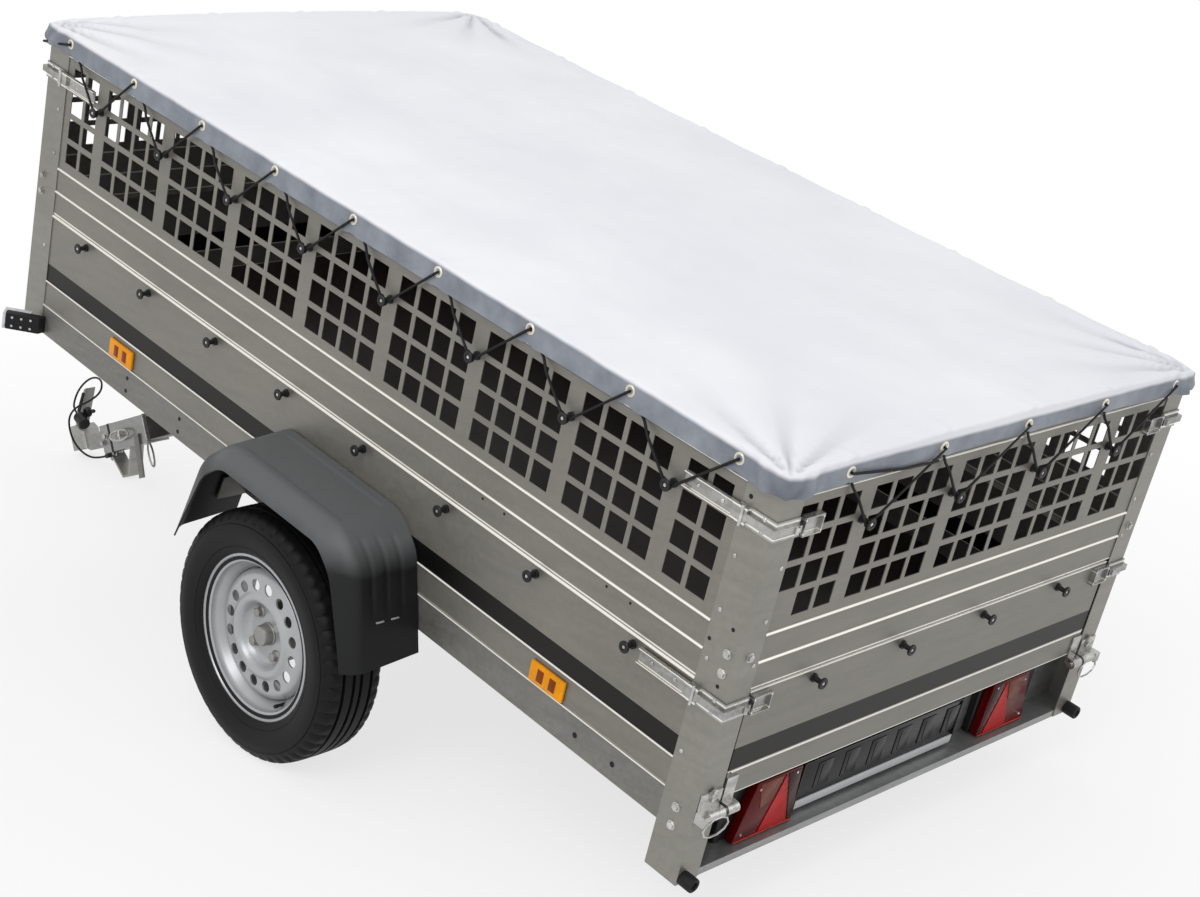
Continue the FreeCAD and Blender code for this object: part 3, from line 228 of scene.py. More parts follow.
def galvanised(name, dull, bright, roughness, folds=(), stripe=None, metal=0.6, tones=(0.3, 0.8)):
    """Zinc-coated steel: fine spangle, cloudy tone and long handling marks.  Folds are the heights
    and half widths of near-white lines painted along its creases as highlights; a stripe is the lowest and
    highest z of its paint."""
    finish = Finish(name)
    level = finish.place(PARK)
    own = finish.place()
    cells = finish.add("ShaderNodeTexVoronoi", {"feature": "F1"}, {"Vector": own, "Scale": 95.0},
                       out="Color")
    spangle = finish.axes(cells)[0]
    clouds = finish.noise(own, 3.0, 5.0)
    streaks = finish.noise(finish.stretched(own, (1.0, 1.0, 9.0)), 6.0, 4.0)
    tone = finish.ramp(spangle * 0.12 + clouds * 0.6 + streaks * 0.4, *tones)
    colour = finish.mix(tone, dull, bright)
    rough = spangle * 0.06 + clouds * 0.10 + roughness
    x, y, z = finish.axes(level)
    if stripe:
        band = (z > stripe[0]) * (z < stripe[1])
        if len(stripe) > 2:
            band = band * (y > stripe[2]) * (y < stripe[3])
        colour = finish.mix(band, colour, STRIPE_PAINT)
        metal = band * (1 - metal) + metal
        rough = rough * (1 - band) + band * 0.4
    # Painted highlight: each crease line is mixed towards a near-white colour.
    for height, half in folds:
        crease = 1 - finish.ramp(abs(z - height), half * 0.45, half)
        colour = finish.mix(crease * 0.92, colour, FOLD_PAINTED_HIGHLIGHT)
        if isinstance(metal, Value):
            metal = metal * (1 - crease)
    finish.set("Base Color", colour)
    finish.set("Metallic", metal)
    finish.set("Roughness", rough)
    grain = finish.noise(finish.stretched(own, (1.0, 0.15, 1.0)), 420.0, 2.0)
    finish.bump(grain * 0.5 + spangle * 0.5, 0.1, 0.0004)
    return finish.material


def dress(names, material):
    """New paint for carried-over pieces."""
    for name in names:
        nodes[name].data.materials.clear()
        nodes[name].data.materials.append(material)


STRIPE_PAINT = rgb(48, 47, 46)
# The near-white colour of the highlights painted along folds and edges.
FOLD_PAINTED_HIGHLIGHT = rgb(246, 244, 236)
LATCH_LEVELS, LATCH_HALF = (279.0, 641.0), 13.6
SIDE_STRIPE = (137.8, 181.0, 80.5, 2249.5)
GATE_STRIPE = (134.0, 181.7)
sheet_dull = rgb(117, 115, 108)
sheet_bright = rgb(137, 134, 127)
# Heights and half widths of the painted crease highlights on each kind of sheet.
board_painted_highlights = ((73.5, 2.6), (136.5, 1.8), (304.5, 3.2))
gate_painted_highlights = ((75.8, 1.6), (131.0, 1.6), (303.0, 2.4))
wall_painted_highlights = ((311.0, 2.4), (366.5, 2.6), (423.5, 2.6), (698.5, 2.2))
side_sheet = galvanised("galvanised_side", sheet_dull, sheet_bright, 0.36, board_painted_highlights, SIDE_STRIPE)
gate_sheet = galvanised("galvanised_gate", sheet_dull, sheet_bright, 0.36, gate_painted_highlights, GATE_STRIPE)
wall_sheet = galvanised("galvanised_wall", sheet_dull, sheet_bright, 0.36, wall_painted_highlights)
post_sheet = galvanised("galvanised_post", rgb(124, 122, 115), rgb(148, 146, 139), 0.32)
section_steel = galvanised("galvanised_section", rgb(104, 103, 99), rgb(136, 135, 130), 0.38)
# Bright zinc: its high-contrast mottling from dark grey to near white is partly painted reflection over the
# spangle.
bright_zinc = galvanised("bright_zinc", rgb(112, 112, 110), rgb(226, 225, 221), 0.2, metal=0.85,
                         tones=(0.32, 0.8))
# Painted highlights: near-white lines along the upper and lower edges of each latch lever; the latch zinc's
# dark-to-bright mottling is partly painted reflection too.
latch_painted_highlights = tuple((level + side * LATCH_HALF, 2.4) for level in LATCH_LEVELS for side in (-1, 1))
latch_zinc = galvanised("latch_zinc", rgb(88, 88, 86), rgb(196, 195, 192), 0.2, latch_painted_highlights, metal=0.85,
                        tones=(0.25, 0.85))
channel_steel = galvanised("galvanised_channel", rgb(120, 121, 120), rgb(162, 163, 163), 0.24)
nose_zinc = galvanised("nose_zinc", rgb(128, 128, 125), rgb(168, 167, 163), 0.26, metal=0.7)
dress(["side_board_left", "side_board_right"], side_sheet)
dress(["tailgate_panel", "front_board"], gate_sheet)
dress(["mesh_left", "mesh_right", "mesh_front", "mesh_rear"], wall_sheet)
dress(["posts_lower", "posts_upper"], post_sheet)
dress(["rear_channel"], channel_steel)
dress(["side_rails", "cross_members", "pivot_carrier", "axle_beam", "axle_brackets",
       "trailing_arms", "mudguard_stays", "drawbar_beam", "side_leg"], section_steel)
dress(["corner_latches", "tailgate_keepers"], latch_zinc)
dress(["tailgate_pins", "tailgate_straps", "tilt_lock"], bright_zinc)
dress(["drawbar_nose", "drawbar_stand", "coupling_head"], nose_zinc)


# Rivets, bolts and punched holes of the boards and posts: domed zinc rivets, hexagon heads on
# washers, and the holes as flat dark discs, painted shade where the holes would be.  They sit on the posts'
# two faces, on the rails and on the boards.
def close_mesh():
    """Turns all faces outward and leaves edit mode."""
    bpy.ops.mesh.select_all(action="SELECT")
    bpy.ops.mesh.normals_make_consistent(inside=False)
    bpy.ops.object.mode_set(mode="OBJECT")


def new_circle(sides, radius=1.0, fill="NGON"):
    """A circle, open or filled, to draw a piece out from."""
    bpy.ops.object.select_all(action="DESELECT")
    bpy.ops.mesh.primitive_circle_add(vertices=sides, radius=radius, fill_type=fill)
    return bpy.context.active_object


def draw_out(steps):
    """Draws the selected face or ring out and resizes it, at each step of height and radius."""
    for (low, before), (high, after) in zip(steps, steps[1:]):
        bpy.ops.mesh.extrude_region_move(TRANSFORM_OT_translate={"value": (0, 0, high - low)})
        bpy.ops.transform.resize(value=(after / before, after / before, 1), center_override=(0, 0, 0))


def turned(steps, at, way, sides=16):
    """A round piece drawn out from one disc, that stands at a place and points one way."""
    piece = new_circle(sides, steps[0][1])
    bpy.ops.object.mode_set(mode="EDIT")
    draw_out(steps)
    close_mesh()
    turn = Vector(way).to_track_quat("Z", "Y").to_matrix().to_4x4()
    piece.data.transform(Matrix.Translation(at) @ turn @ Matrix.Translation((0, 0, steps[0][0])))
    return piece


def again(piece, move):
    """A copy with its own mesh, moved; a mirrored one is turned right side out."""
    twin = piece.copy()
    twin.data = piece.data.copy()
    twin.data.transform(move)
    if move.determinant() < 0:
        twin.data.flip_normals()
    scene.collection.objects.link(twin)
    return twin


def painted(piece, material):
    piece.data.materials.clear()
    piece.data.materials.append(material)
    return piece


def both_sides(pieces):
    """The pieces of the left side and their mirror images on the right."""
    return pieces + [again(piece, OVER) for piece in pieces]


def pick(pieces):
    """Selects these pieces and no others, with the first one active."""
    bpy.ops.object.select_all(action="DESELECT")
    for piece in pieces:
        piece.select_set(True)
    bpy.context.view_layer.objects.active = pieces[0]


def fitted(name, pieces, stand, body, replaced=(), crease=35):
    """Joins the shapes into one piece, puts it where it stands for good and gives it its body."""
    pick(pieces)
    if len(pieces) > 1:
        bpy.ops.object.join()
    whole = pieces[0]
    whole.name = name
    whole.data.name = name
    whole.data.transform(stand)
    bpy.ops.object.shade_smooth_by_angle(angle=radians(crease))
    bpy.ops.object.select_all(action="DESELECT")
    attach(whole, body)
    if replaced:
        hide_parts(*replaced)
    return whole


LEFT, RIGHT, REAR, FRONT = (-1, 0, 0), (1, 0, 0), (0, -1, 0), (0, 1, 0)
OVER = Matrix.Scale(-1, 4, (1, 0, 0))
rivet_steps = ((0, 4.6), (1.2, 4.4), (2.2, 3.2), (2.7, 1.2))
washer_steps = ((0, 9.5), (1.6, 9.5), (1.8, 8.6))
head_steps = ((1.6, 7.4), (5.8, 7.4), (6.4, 6.4))
rivets = [(-SIDE, 66, z, LEFT) for z in (561, 454, 354, 158)]
rivets += [(-SIDE, 2272, z, LEFT) for z in (562, 454, 220)]
rivets += [(-SIDE + 47, 0, z, REAR) for z in (561, 454, 365)]
bolts = [(-SIDE, y, z, LEFT) for y, z in ((26, 386), (26, 346), (44, 50), (44, 10))]
bolts += [(-SIDE, 2308, z, LEFT) for z in (386, 346)]
bolts += [(-SIDE + 30, 0, 386, REAR), (-SIDE + 30, -3.7, 100, REAR)]
SHEET_X = -SIDE + 2
holes = [(-SIDE, 28, 434, 4.0), (-SIDE, 28, 318, 4.0), (-SIDE, 66, 676, 4.5), (-SIDE, 72, 392, 4.0)]
holes += [(SHEET_X, y, 34, 6.0) for y in (211, 314)]
holes += [(SHEET_X, y, z, 5.0) for y in (1654, 1872) for z in (50, 18)]
holes += [(SHEET_X, y, 354, 3.0) for y in (262, 325, 611, 675)]
fasteners = []
for x, y, z, way in rivets:
    fasteners.append(painted(turned(rivet_steps, (x, y, z), way, 12), bright_zinc))
for x, y, z, way in bolts:
    fasteners.append(painted(turned(washer_steps, (x, y, z), way, 20), bright_zinc))
    fasteners.append(painted(turned(head_steps, (x, y, z), way, 6), bright_zinc))
fitted("post_fasteners", both_sides(fasteners), PARK, "bed")
# Painted shade: a near-black finish for discs that stand in for holes.
painted_hole_shade = Finish("painted_hole_shade", Roughness=0.9)
painted_hole_shade.set("Base Color", rgb(20, 20, 20))
punched = []
for x, y, z, radius in holes:
    dot = turned(((0, radius), (0.4, radius)), (x, y, z), LEFT, 14)
    punched.append(painted(dot, painted_hole_shade.material))
fitted("punched_holes", both_sides(punched), PARK, "bed")


# The cover: one sheet of light tarpaulin drawn tight over the box, with a slight ridge along its
# middle.  Its hem hangs down all round, painted a darker grey as shade.  The corners are gathered,
# with folds that run out over the top and shade painted into their valleys, and the cloth rests on
# the walls' rim.
def moulded(name, colour, roughness, grain=0.25, lift=1.3, **fixed):
    """An even finish with a fine grain and slightly uneven tone and gloss."""
    finish = Finish(name, **fixed)
    place = finish.place()
    broad = finish.noise(place, 14.0, 3.0)
    lighter = tuple(min(1.0, c * lift) for c in colour[:3]) + (1.0,)
    finish.set("Base Color", finish.mix(finish.ramp(broad, 0.3, 0.7), colour, lighter))
    finish.set("Roughness", broad * 0.12 + roughness)
    finish.bump(finish.noise(place, 900.0, 2.0), grain, 0.0003)
    return finish.material


def on_left(along, out, z):
    return Vector((-SIDE - out, along, z))


def on_right(along, out, z):
    return Vector((SIDE + out, along, z))


def on_rear(along, out, z):
    return Vector((along, -out, z))


def on_front(along, out, z):
    return Vector((along, LENGTH + out, z))


def in_a_row(pieces, place_on, places):
    """The pieces as they stand at the first place, with copies at all the others."""
    row = list(pieces)
    for along in places[1:]:
        move = Matrix.Translation(place_on(along, 0, 0) - place_on(places[0], 0, 0))
        row += [again(piece, move) for piece in pieces]
    return row


PITCH = 266.3
side_eyelets = [102.46 + PITCH * i for i in range(9)]
rear_eyelets = [-490.0 + PITCH * i for i in range(5)]
front_eyelets = [-471.35 + PITCH * i for i in range(5)]
EYELET_RISE = 731.0
EAVE = 751.0
CROWN = 13.5
CLOTH_OUT = 9.2
FOLD = 5.0
half_width = SIDE + CLOTH_OUT - FOLD
first_edge = -(CLOTH_OUT - FOLD)
last_edge = LENGTH + CLOTH_OUT - FOLD
HEM = 54.6
hem_rows = (2.6, 5.2, 7.85, 12.0, 18.0, 24.0, 30.0, 36.0, 42.0, 48.0, HEM)
bpy.ops.object.select_all(action="DESELECT")
bpy.ops.mesh.primitive_grid_add(x_subdivisions=130, y_subdivisions=234, size=1)
cover = bpy.context.active_object
bpy.ops.object.mode_set(mode="EDIT")
bpy.ops.mesh.select_all(action="SELECT")
bpy.ops.transform.resize(value=(half_width * 2, last_edge - first_edge, 1), center_override=(0, 0, 0))
bpy.ops.mesh.select_all(action="DESELECT")
bpy.ops.mesh.select_mode(type="EDGE")
bpy.ops.mesh.select_non_manifold()
for row in range(len(hem_rows)):
    bpy.ops.mesh.extrude_region_move(TRANSFORM_OT_translate={"value": (0, 0, -1)})
close_mesh()
cover.data.transform(Matrix.Translation((0, (first_edge + last_edge) / 2, 0)))


def slack(along, eyelets):
    """0 at an eyelet, where the rope draws the cloth tight, and 1 midway between two."""
    nearest = min(abs(along - e) for e in eyelets)
    return (1 - cos(pi * min(1.0, nearest / (PITCH / 2)))) / 2


def crumple(along, depth, eyelets):
    """The short folds that run from an eyelet over the edge and onto the top."""
    offs = [along - e for e in eyelets if abs(along - e) < 110]
    return sum(2.6 * exp(-(off / 34) ** 2 - depth / 60) * cos(off / 7.5 + depth / 40) for off in offs)


SWELL, RIPPLE, SAG, RAY = 7.5, 2.2, 2.2, 7.5
PLEAT, TUCK, GATHER_REACH, GATHER_LIFT = 16.0, 7.0, 75.0, 9.0
PLEAT_EVERY, TUCK_EVERY = 88, 42
RIM_TOP = EAVE - 3.5
corners = [(sx * half_width, y) for sx in (-1, 1) for y in (first_edge, last_edge)]
fold_shades = []
for vertex in cover.data.vertices:
    x, y, step = vertex.co.x, vertex.co.y, round(-vertex.co.z)
    depths = {"x": half_width - abs(x), "rear": y - first_edge, "front": last_edge - y}
    inside = min(depths.values())
    # the ridge, broad swells and fine waves, and the short folds at the eyelets with sag between
    z = EAVE + CROWN * (1 - (x / half_width) ** 2)
    z += SWELL * noise.noise((x / 150, y / 330, 0.3)) * min(1, inside / 90)
    z += RIPPLE * noise.noise((x / 55, y / 120, 4.1)) * min(1, inside / 40)
    z += crumple(y, depths["x"], side_eyelets) * min(1, depths["rear"] / 30, depths["front"] / 30)
    z += crumple(x, depths["rear"], rear_eyelets) * min(1, depths["x"] / 30)
    z += crumple(x, depths["front"], front_eyelets) * min(1, depths["x"] / 30)
    z -= SAG * slack(y, side_eyelets) * exp(-depths["x"] / 40)
    z -= SAG * slack(x, rear_eyelets) * exp(-depths["rear"] / 40)
    # folds that run out from each corner, and the painted shade in their valleys
    reach, fold = inf, 0.0
    for corner_x, corner_y in corners:
        away = hypot(x - corner_x, y - corner_y)
        turn = atan2(abs(y - corner_y), abs(x - corner_x))
        ray = sin(13 * turn + 0.7) * min(1, away / 60)
        z += RAY * ray * exp(-away / 260)
        fold = max(fold, -ray * exp(-away / 110))
        reach = min(reach, away)
    z = max(z, RIM_TOP)
    # the hem: bent over the edge, loose between eyelets, pleated and tucked near a corner
    if step:
        t = hem_rows[step - 1]
        share = t / HEM
        turn = min(t / FOLD, pi / 2)
        out = FOLD * sin(turn)
        drop = FOLD * (1 - cos(turn)) + max(0.0, t - FOLD * pi / 2)
        way = Vector((0, 0))
        loose = 0.0
        if depths["x"] < 0.01:
            way += Vector((copysign(1, x), 0))
            loose = slack(y, side_eyelets)
            along = y
        if depths["rear"] < 0.01 or depths["front"] < 0.01:
            way += Vector((0, -1 if depths["rear"] < 0.01 else 1))
            loose = slack(x, rear_eyelets if depths["rear"] < 0.01 else front_eyelets)
            along = x
        way.normalize()
        gather = exp(-(reach / GATHER_REACH) ** 2)
        out += (1.6 * loose + 0.8 * noise.noise((along / 60, t / 30, 7.0))) * share
        pleat = 0.5 - 0.5 * cos(2 * pi * reach / PLEAT_EVERY)
        tuck = 0.5 - 0.5 * cos(2 * pi * (reach + 30 * share) / TUCK_EVERY)
        out += (PLEAT * pleat + TUCK * tuck) * gather * min(1, share * 1.6)
        # painted shade: darkest in the pleats and tucks of a gathered corner
        fold = gather * (1 - 0.6 * tuck - 0.4 * pleat) * min(1, share * 3)
        out -= 1.4 * exp(-(reach / 12) ** 2)
        z -= drop - 4.0 * loose * share - GATHER_LIFT * gather * share ** 2
        x += way.x * out
        y += way.y * out
    vertex.co = (x, y, z)
    fold_shades.append(fold)
cover.data.attributes.new("fold_shade", "FLOAT", "POINT").data.foreach_set("value", fold_shades)
cloth = Finish("cover_cloth", Roughness=0.5)
shaded = cloth.add("ShaderNodeAttribute", {"attribute_name": "fold_shade"}, out="Fac")
cloth_place = cloth.place()
hem_line = cloth.axes(cloth.place(PARK))[2] + cloth.noise(cloth_place, 9.0, 2.0) * 5.0
broad = cloth.noise(cloth_place, 2.2, 4.0)
top_tone = cloth.mix(cloth.ramp(broad, 0.35, 0.68), rgb(226, 228, 234), rgb(236, 238, 242))
# Painted shade: the hem below the eave is a darker blue-grey than the top.
hem_painted_shade = cloth.mix(cloth.ramp(cloth.noise(cloth_place, 17.0, 4.0), 0.3, 0.7),
                     rgb(112, 117, 127), rgb(142, 147, 157))
flat_tone = cloth.mix(cloth.ramp(hem_line, EAVE - 7.0, EAVE), hem_painted_shade, top_tone)
# Painted shade: the fold_shade amount darkens the cloth towards a dark blue-grey.
cloth.set("Base Color", cloth.mix(shaded * 0.75, flat_tone, rgb(78, 82, 92)))
cloth.set("Roughness", broad * 0.1 + 0.42)
weave = cloth.add("ShaderNodeTexWave", {"wave_type": "BANDS", "bands_direction": "Y"},
                  {"Vector": cloth_place, "Scale": 260.0, "Distortion": 0.4})
cloth.bump(weave, 0.05, 0.0003)
painted(cover, cloth.material)
fitted("tarpaulin_cover", [cover], PARK, "bed", ["cover"], crease=180)

# The eyelets: pressed brass rings, plated pale, set through the doubled hem at an even pitch.  The
# rope runs through them.
ring_metal = moulded("eyelet_metal", rgb(214, 207, 190), 0.3, 0.0, Metallic=0.35)
RING_OUT = CLOTH_OUT + 0.6
RING_SIDES = 20
ring_steps = ((-1.0, 11.4), (0.6, 11.4), (1.9, 10.4), (2.3, 9.2), (1.7, 7.2), (0.2, 5.8), (-0.8, 5.2))
eyelets = []
for place_on, way, places in ((on_left, LEFT, side_eyelets), (on_right, RIGHT, side_eyelets),
                              (on_rear, REAR, rear_eyelets), (on_front, FRONT, front_eyelets)):
    centre = place_on(places[0], RING_OUT, EYELET_RISE)
    ring = painted(turned(ring_steps, centre, way, RING_SIDES), ring_metal)
    # The eyelet's closed middle face is painted near-black as the shade of its hole.
    ring.data.materials.append(painted_hole_shade.material)
    for face in ring.data.polygons:
        if (face.center - centre).length < 3.0 and len(face.vertices) == RING_SIDES:
            face.material_index = 1
    eyelets += in_a_row([ring], place_on, places)
eyelet_rings = fitted("hem_eyelets", eyelets, PARK, "bed")

# The hooks: black plastic buttons, each screwed to a bar of the upper wall or to a board.  A wide
# head keeps the rope on the neck.
black_plastic = moulded("black_plastic", rgb(22, 22, 23), 0.36, Specular_IOR_Level=0.3)
black_rubber = moulded("black_rubber", rgb(20, 20, 21), 0.55, 0.4, Specular_IOR_Level=0.25)
dress(["lead_gland", "lead_plug"], black_plastic)
lead_line.data.materials.append(black_rubber)
HOOK_RISE = 616.0
BOARD_HOOK_RISE = 284.0
side_hooks = [232.95 + PITCH * i for i in range(8)]
end_hooks = [-399.45 + PITCH * i for i in range(4)]
button_steps = ((0, 9), (4.4, 9), (5, 8.2), (5.2, 5.8), (19, 4.8), (20.6, 6.5), (21, 11), (22, 12),
                (24.6, 12), (26, 10.6), (26, 5.2), (23.6, 4.6))


def buttons(place_on, way, places, rise, back):
    """A row of hooks on one wall, each with its screw."""
    first = place_on(places[0], back, rise)
    button = painted(turned(button_steps, first, way, 18), black_plastic)
    screw = painted(turned(((23.7, 3.9), (24.9, 3.4)), first, way, 8), bright_zinc)
    return in_a_row([button, screw], place_on, places)


wall_buttons = []
for rise in (HOOK_RISE, BOARD_HOOK_RISE):
    wall_buttons += buttons(on_left, LEFT, side_hooks, rise, -2)
    wall_buttons += buttons(on_right, RIGHT, side_hooks, rise, -2)
    wall_buttons += buttons(on_front, FRONT, end_hooks, rise, -2.3)
wall_buttons += buttons(on_rear, REAR, end_hooks, HOOK_RISE, -2.3)
fitted("rope_hooks", wall_buttons, PARK, "bed", ["hooks"])
gate_buttons = buttons(on_rear, REAR, end_hooks, BOARD_HOOK_RISE, -2)
fitted("tailgate_rope_hooks", gate_buttons, PARK, "tailgate", ["tailgate_hooks"])

# The rope: black elastic cord, taut from eyelet to hook and back to the next eyelet all round the
# box.  One strand of each pair passes over the hem, the other behind it.
ROPE_RADIUS = 2.8
ROPE_OUT = 14.6
ROPE_IN = 4.4
WRAP = 8.2


def laced(place_on, eyelet_row, hook_row, sense, tail=()):
    """One wall's rope as a line of straight taut runs, round each hook's neck in a half turn."""
    run = [place_on(eyelet_row[0], ROPE_IN, EYELET_RISE)]
    for start, hook, end in zip(eyelet_row, hook_row, eyelet_row[1:]):
        run.append(place_on(start, ROPE_OUT, EYELET_RISE - 1))
        for degrees in (180, 215, 250, 290, 325, 360):
            turn = radians(degrees)
            run.append(place_on(hook + sense * WRAP * cos(turn), ROPE_OUT,
                                HOOK_RISE + WRAP * sin(turn)))
        rise = EYELET_RISE - HOOK_RISE
        for height, out in ((674, ROPE_OUT - 3), (692, ROPE_IN), (EYELET_RISE, ROPE_IN)):
            share = (height - HOOK_RISE) / rise
            along = hook + sense * WRAP + (end - hook - sense * WRAP) * share
            run.append(place_on(along, out, height))
    run.append(place_on(eyelet_row[-1], ROPE_OUT, EYELET_RISE - 1))
    return run + list(tail)


def round_post(place_on, side):
    """The end of a side's rope, round the front post and tied under the front hem."""
    return [place_on(LENGTH - 30, ROPE_OUT, 712), place_on(LENGTH + 13, ROPE_OUT - 2, 703),
            on_front(side * (SIDE - 26), ROPE_OUT - 1, 703)]


rear_end = [on_rear(-SIDE + 300, ROPE_OUT, 712), on_rear(-SIDE + 400, ROPE_OUT - 1, 707),
            on_rear(-SIDE + 424, ROPE_IN, 700)]
runs = [laced(on_left, side_eyelets, side_hooks, 1, round_post(on_left, -1)),
        laced(on_right, side_eyelets, side_hooks, 1, round_post(on_right, 1)),
        laced(on_rear, rear_eyelets[::-1], end_hooks[::-1], -1, rear_end),
        laced(on_front, front_eyelets, end_hooks, 1)]
rope = round_line("elastic_rope", "POLY", runs, ROPE_RADIUS, 2)
pick([rope])
bpy.ops.object.convert(target="MESH")
rope = painted(bpy.context.active_object, black_rubber)
fitted("elastic_rope", [rope], PARK, "bed", ["cover_rope"], crease=60)


# The corner latches and the tailgate's hinge pins: zinc-plated pressings, whose plates, levers and
# tongues come with the frame.  Here are their rivets, hinge pins and screws.
def slab(x0, x1, y0, y1, z0, z1, edge=1.0, steps=2):
    """A block between two corners with rounded edges."""
    bpy.ops.object.select_all(action="DESELECT")
    middle = ((x0 + x1) / 2, (y0 + y1) / 2, (z0 + z1) / 2)
    size = (abs(x1 - x0), abs(y1 - y0), abs(z1 - z0))
    bpy.ops.mesh.primitive_cube_add(size=1, location=middle, scale=size)
    bpy.ops.object.transform_apply(location=True, rotation=True, scale=True)
    piece = bpy.context.active_object
    bpy.ops.object.mode_set(mode="EDIT")
    bpy.ops.mesh.select_all(action="SELECT")
    bpy.ops.mesh.bevel(offset=edge, segments=steps, affect="EDGES")
    bpy.ops.object.mode_set(mode="OBJECT")
    return piece


latch_trim = []
for level in LATCH_LEVELS:
    for y in (118, 176):
        latch_trim.append(turned(rivet_steps, (-SIDE - 4, y, level), LEFT, 12))
    latch_trim.append(turned(((-20, 3.4), (20, 3.4)), (-SIDE - 10.5, 68, level), (0, 0, 1), 12))
    for z in (level + 12, level - 12):
        latch_trim.append(turned(rivet_steps, (-SIDE - 3, 24, z), LEFT, 12))
    latch_trim.append(turned(((-7, 4.4), (7, 4.4)), (-SIDE + 46, -11, level), (0, 0, 1), 12))
to_front = Matrix.Translation((0, LENGTH, 0)) @ Matrix.Scale(-1, 4, (0, 1, 0))
latch_trim += [again(piece, to_front) for piece in latch_trim[6:]]
latch_trim += [turned(head_steps, (-SIDE + 33, -2.6, z), REAR, 6) for z in (88, 104)]
for piece in latch_trim:
    painted(piece, bright_zinc)
fitted("latch_rivets", both_sides(latch_trim), PARK, "bed")


# The rear lamps: each a black tray with a red lens whose outer end is slanted.  The lens has a
# brownish window, a triangular reflector and a smoky inner end, and a thin bright red strip along its lower
# lip is a painted highlight.
def cut_plate(outline, thickness, edge=0.8, steps=2):
    """A plate cut to an outline in its own x and y, drawn up by its thickness, its rims rounded."""
    piece = new_circle(len(outline))
    for vertex, (across, up) in zip(piece.data.vertices, outline):
        vertex.co = (across, up, 0)
    bpy.ops.object.mode_set(mode="EDIT")
    bpy.ops.mesh.extrude_region_move(TRANSFORM_OT_translate={"value": (0, 0, thickness)})
    bpy.ops.mesh.select_all(action="SELECT")
    bpy.ops.mesh.normals_make_consistent(inside=False)
    bpy.ops.mesh.bevel(offset=edge, segments=steps, affect="EDGES")
    bpy.ops.object.mode_set(mode="OBJECT")
    return piece


def facing(at, across, up):
    """Turns a plate's own x and y to two directions and its thickness outwards."""
    across, up = Vector(across), Vector(up)
    return Matrix.Translation(at) @ Matrix((across, up, across.cross(up))).transposed().to_4x4()


def glossy(name, colour, flutes=0.0):
    """Smooth lens plastic, with fine upright flutes where they are asked for."""
    finish = Finish(name, Specular_IOR_Level=0.15)
    place = finish.place()
    cloudy = finish.noise(place, 22.0, 3.0)
    darker = tuple(c * 0.72 for c in colour[:3]) + (1.0,)
    finish.set("Base Color", finish.mix(finish.ramp(cloudy, 0.3, 0.7), darker, colour))
    finish.set("Roughness", cloudy * 0.06 + 0.12)
    if flutes:
        lines = finish.add("ShaderNodeTexWave", {"wave_type": "BANDS", "bands_direction": "X"},
                           {"Vector": place, "Scale": flutes, "Distortion": 0.0})
        finish.bump(lines, 0.35, 0.0006)
    return finish.material


lens_red = glossy("lens_red", rgb(92, 4, 6), 70.0)
lens_bright = glossy("lens_reflector", rgb(190, 8, 8), 160.0)
lens_orange = glossy("lens_orange", rgb(116, 56, 38), 90.0)
lens_smoky = glossy("lens_smoky", rgb(58, 26, 24), 60.0)
BASE_BACK, BASE_FACE, LENS_FACE = 57.7, 39.7, 18.6
LAMP_LOW, LAMP_HIGH = -80.7, 57.3
lamp_outer = -SIDE + 136
lamp_face = facing((lamp_outer, LENS_FACE, 0), (1, 0, 0), (0, 0, 1))


def on_lamp(outline, thickness, out, material, edge=0.8):
    """A panel of the lamp, its back a little behind the lens's face or as far as out says."""
    panel = cut_plate(outline, thickness, edge)
    panel.data.transform(lamp_face @ Matrix.Translation((0, 0, out)))
    return painted(panel, material)


tray = slab(lamp_outer, lamp_outer + 205, BASE_FACE, BASE_BACK, LAMP_LOW, LAMP_HIGH, 4, 3)
# Painted highlight: a thin bright red strip along the lens's lower lip.
lens_edge_highlight = glossy("lens_edge_highlight", rgb(226, 70, 52))
lamp_parts = [
    painted(tray, black_plastic),
    on_lamp([(30, -77.7), (202, -77.7), (193, 51.3), (64, 51.3)], 21.0, -21.0, lens_red, 2.2),
    on_lamp([(72, 46), (138, 46), (122, -2), (88, -14)], 1.4, -0.4, lens_orange, 0.5),
    on_lamp([(100, -73), (184, -73), (146, 46)], 2.2, -0.6, lens_bright, 0.6),
    on_lamp([(152, 46), (189, 46), (196, -73), (189, -73)], 1.2, -0.4, lens_smoky, 0.4),
    on_lamp([(34, -77), (200, -77), (200, -75), (35, -75)], 1.6, -0.4, lens_edge_highlight, 0.3),
]
for along, up in ((50, -62), (178, 40), (74, 34)):
    screw = turned(((0, 3.0), (1.6, 2.6)), (lamp_outer + along, LENS_FACE, up), REAR, 10)
    lamp_parts.append(painted(screw, bright_zinc))


def fitted_pair(name, left, bodies, replaced, crease=35):
    """A left piece and its mirror image on the right, each fitted under its side's name."""
    right = [again(piece, OVER) for piece in left]
    for side, shapes, body in (("left", left, bodies[0]), ("right", right, bodies[-1])):
        fitted(f"{name}_{side}", shapes, PARK, body, [f"{replaced}_{side}"], crease)


fitted_pair("rear_lamp", lamp_parts, ["bed"], "lamp")

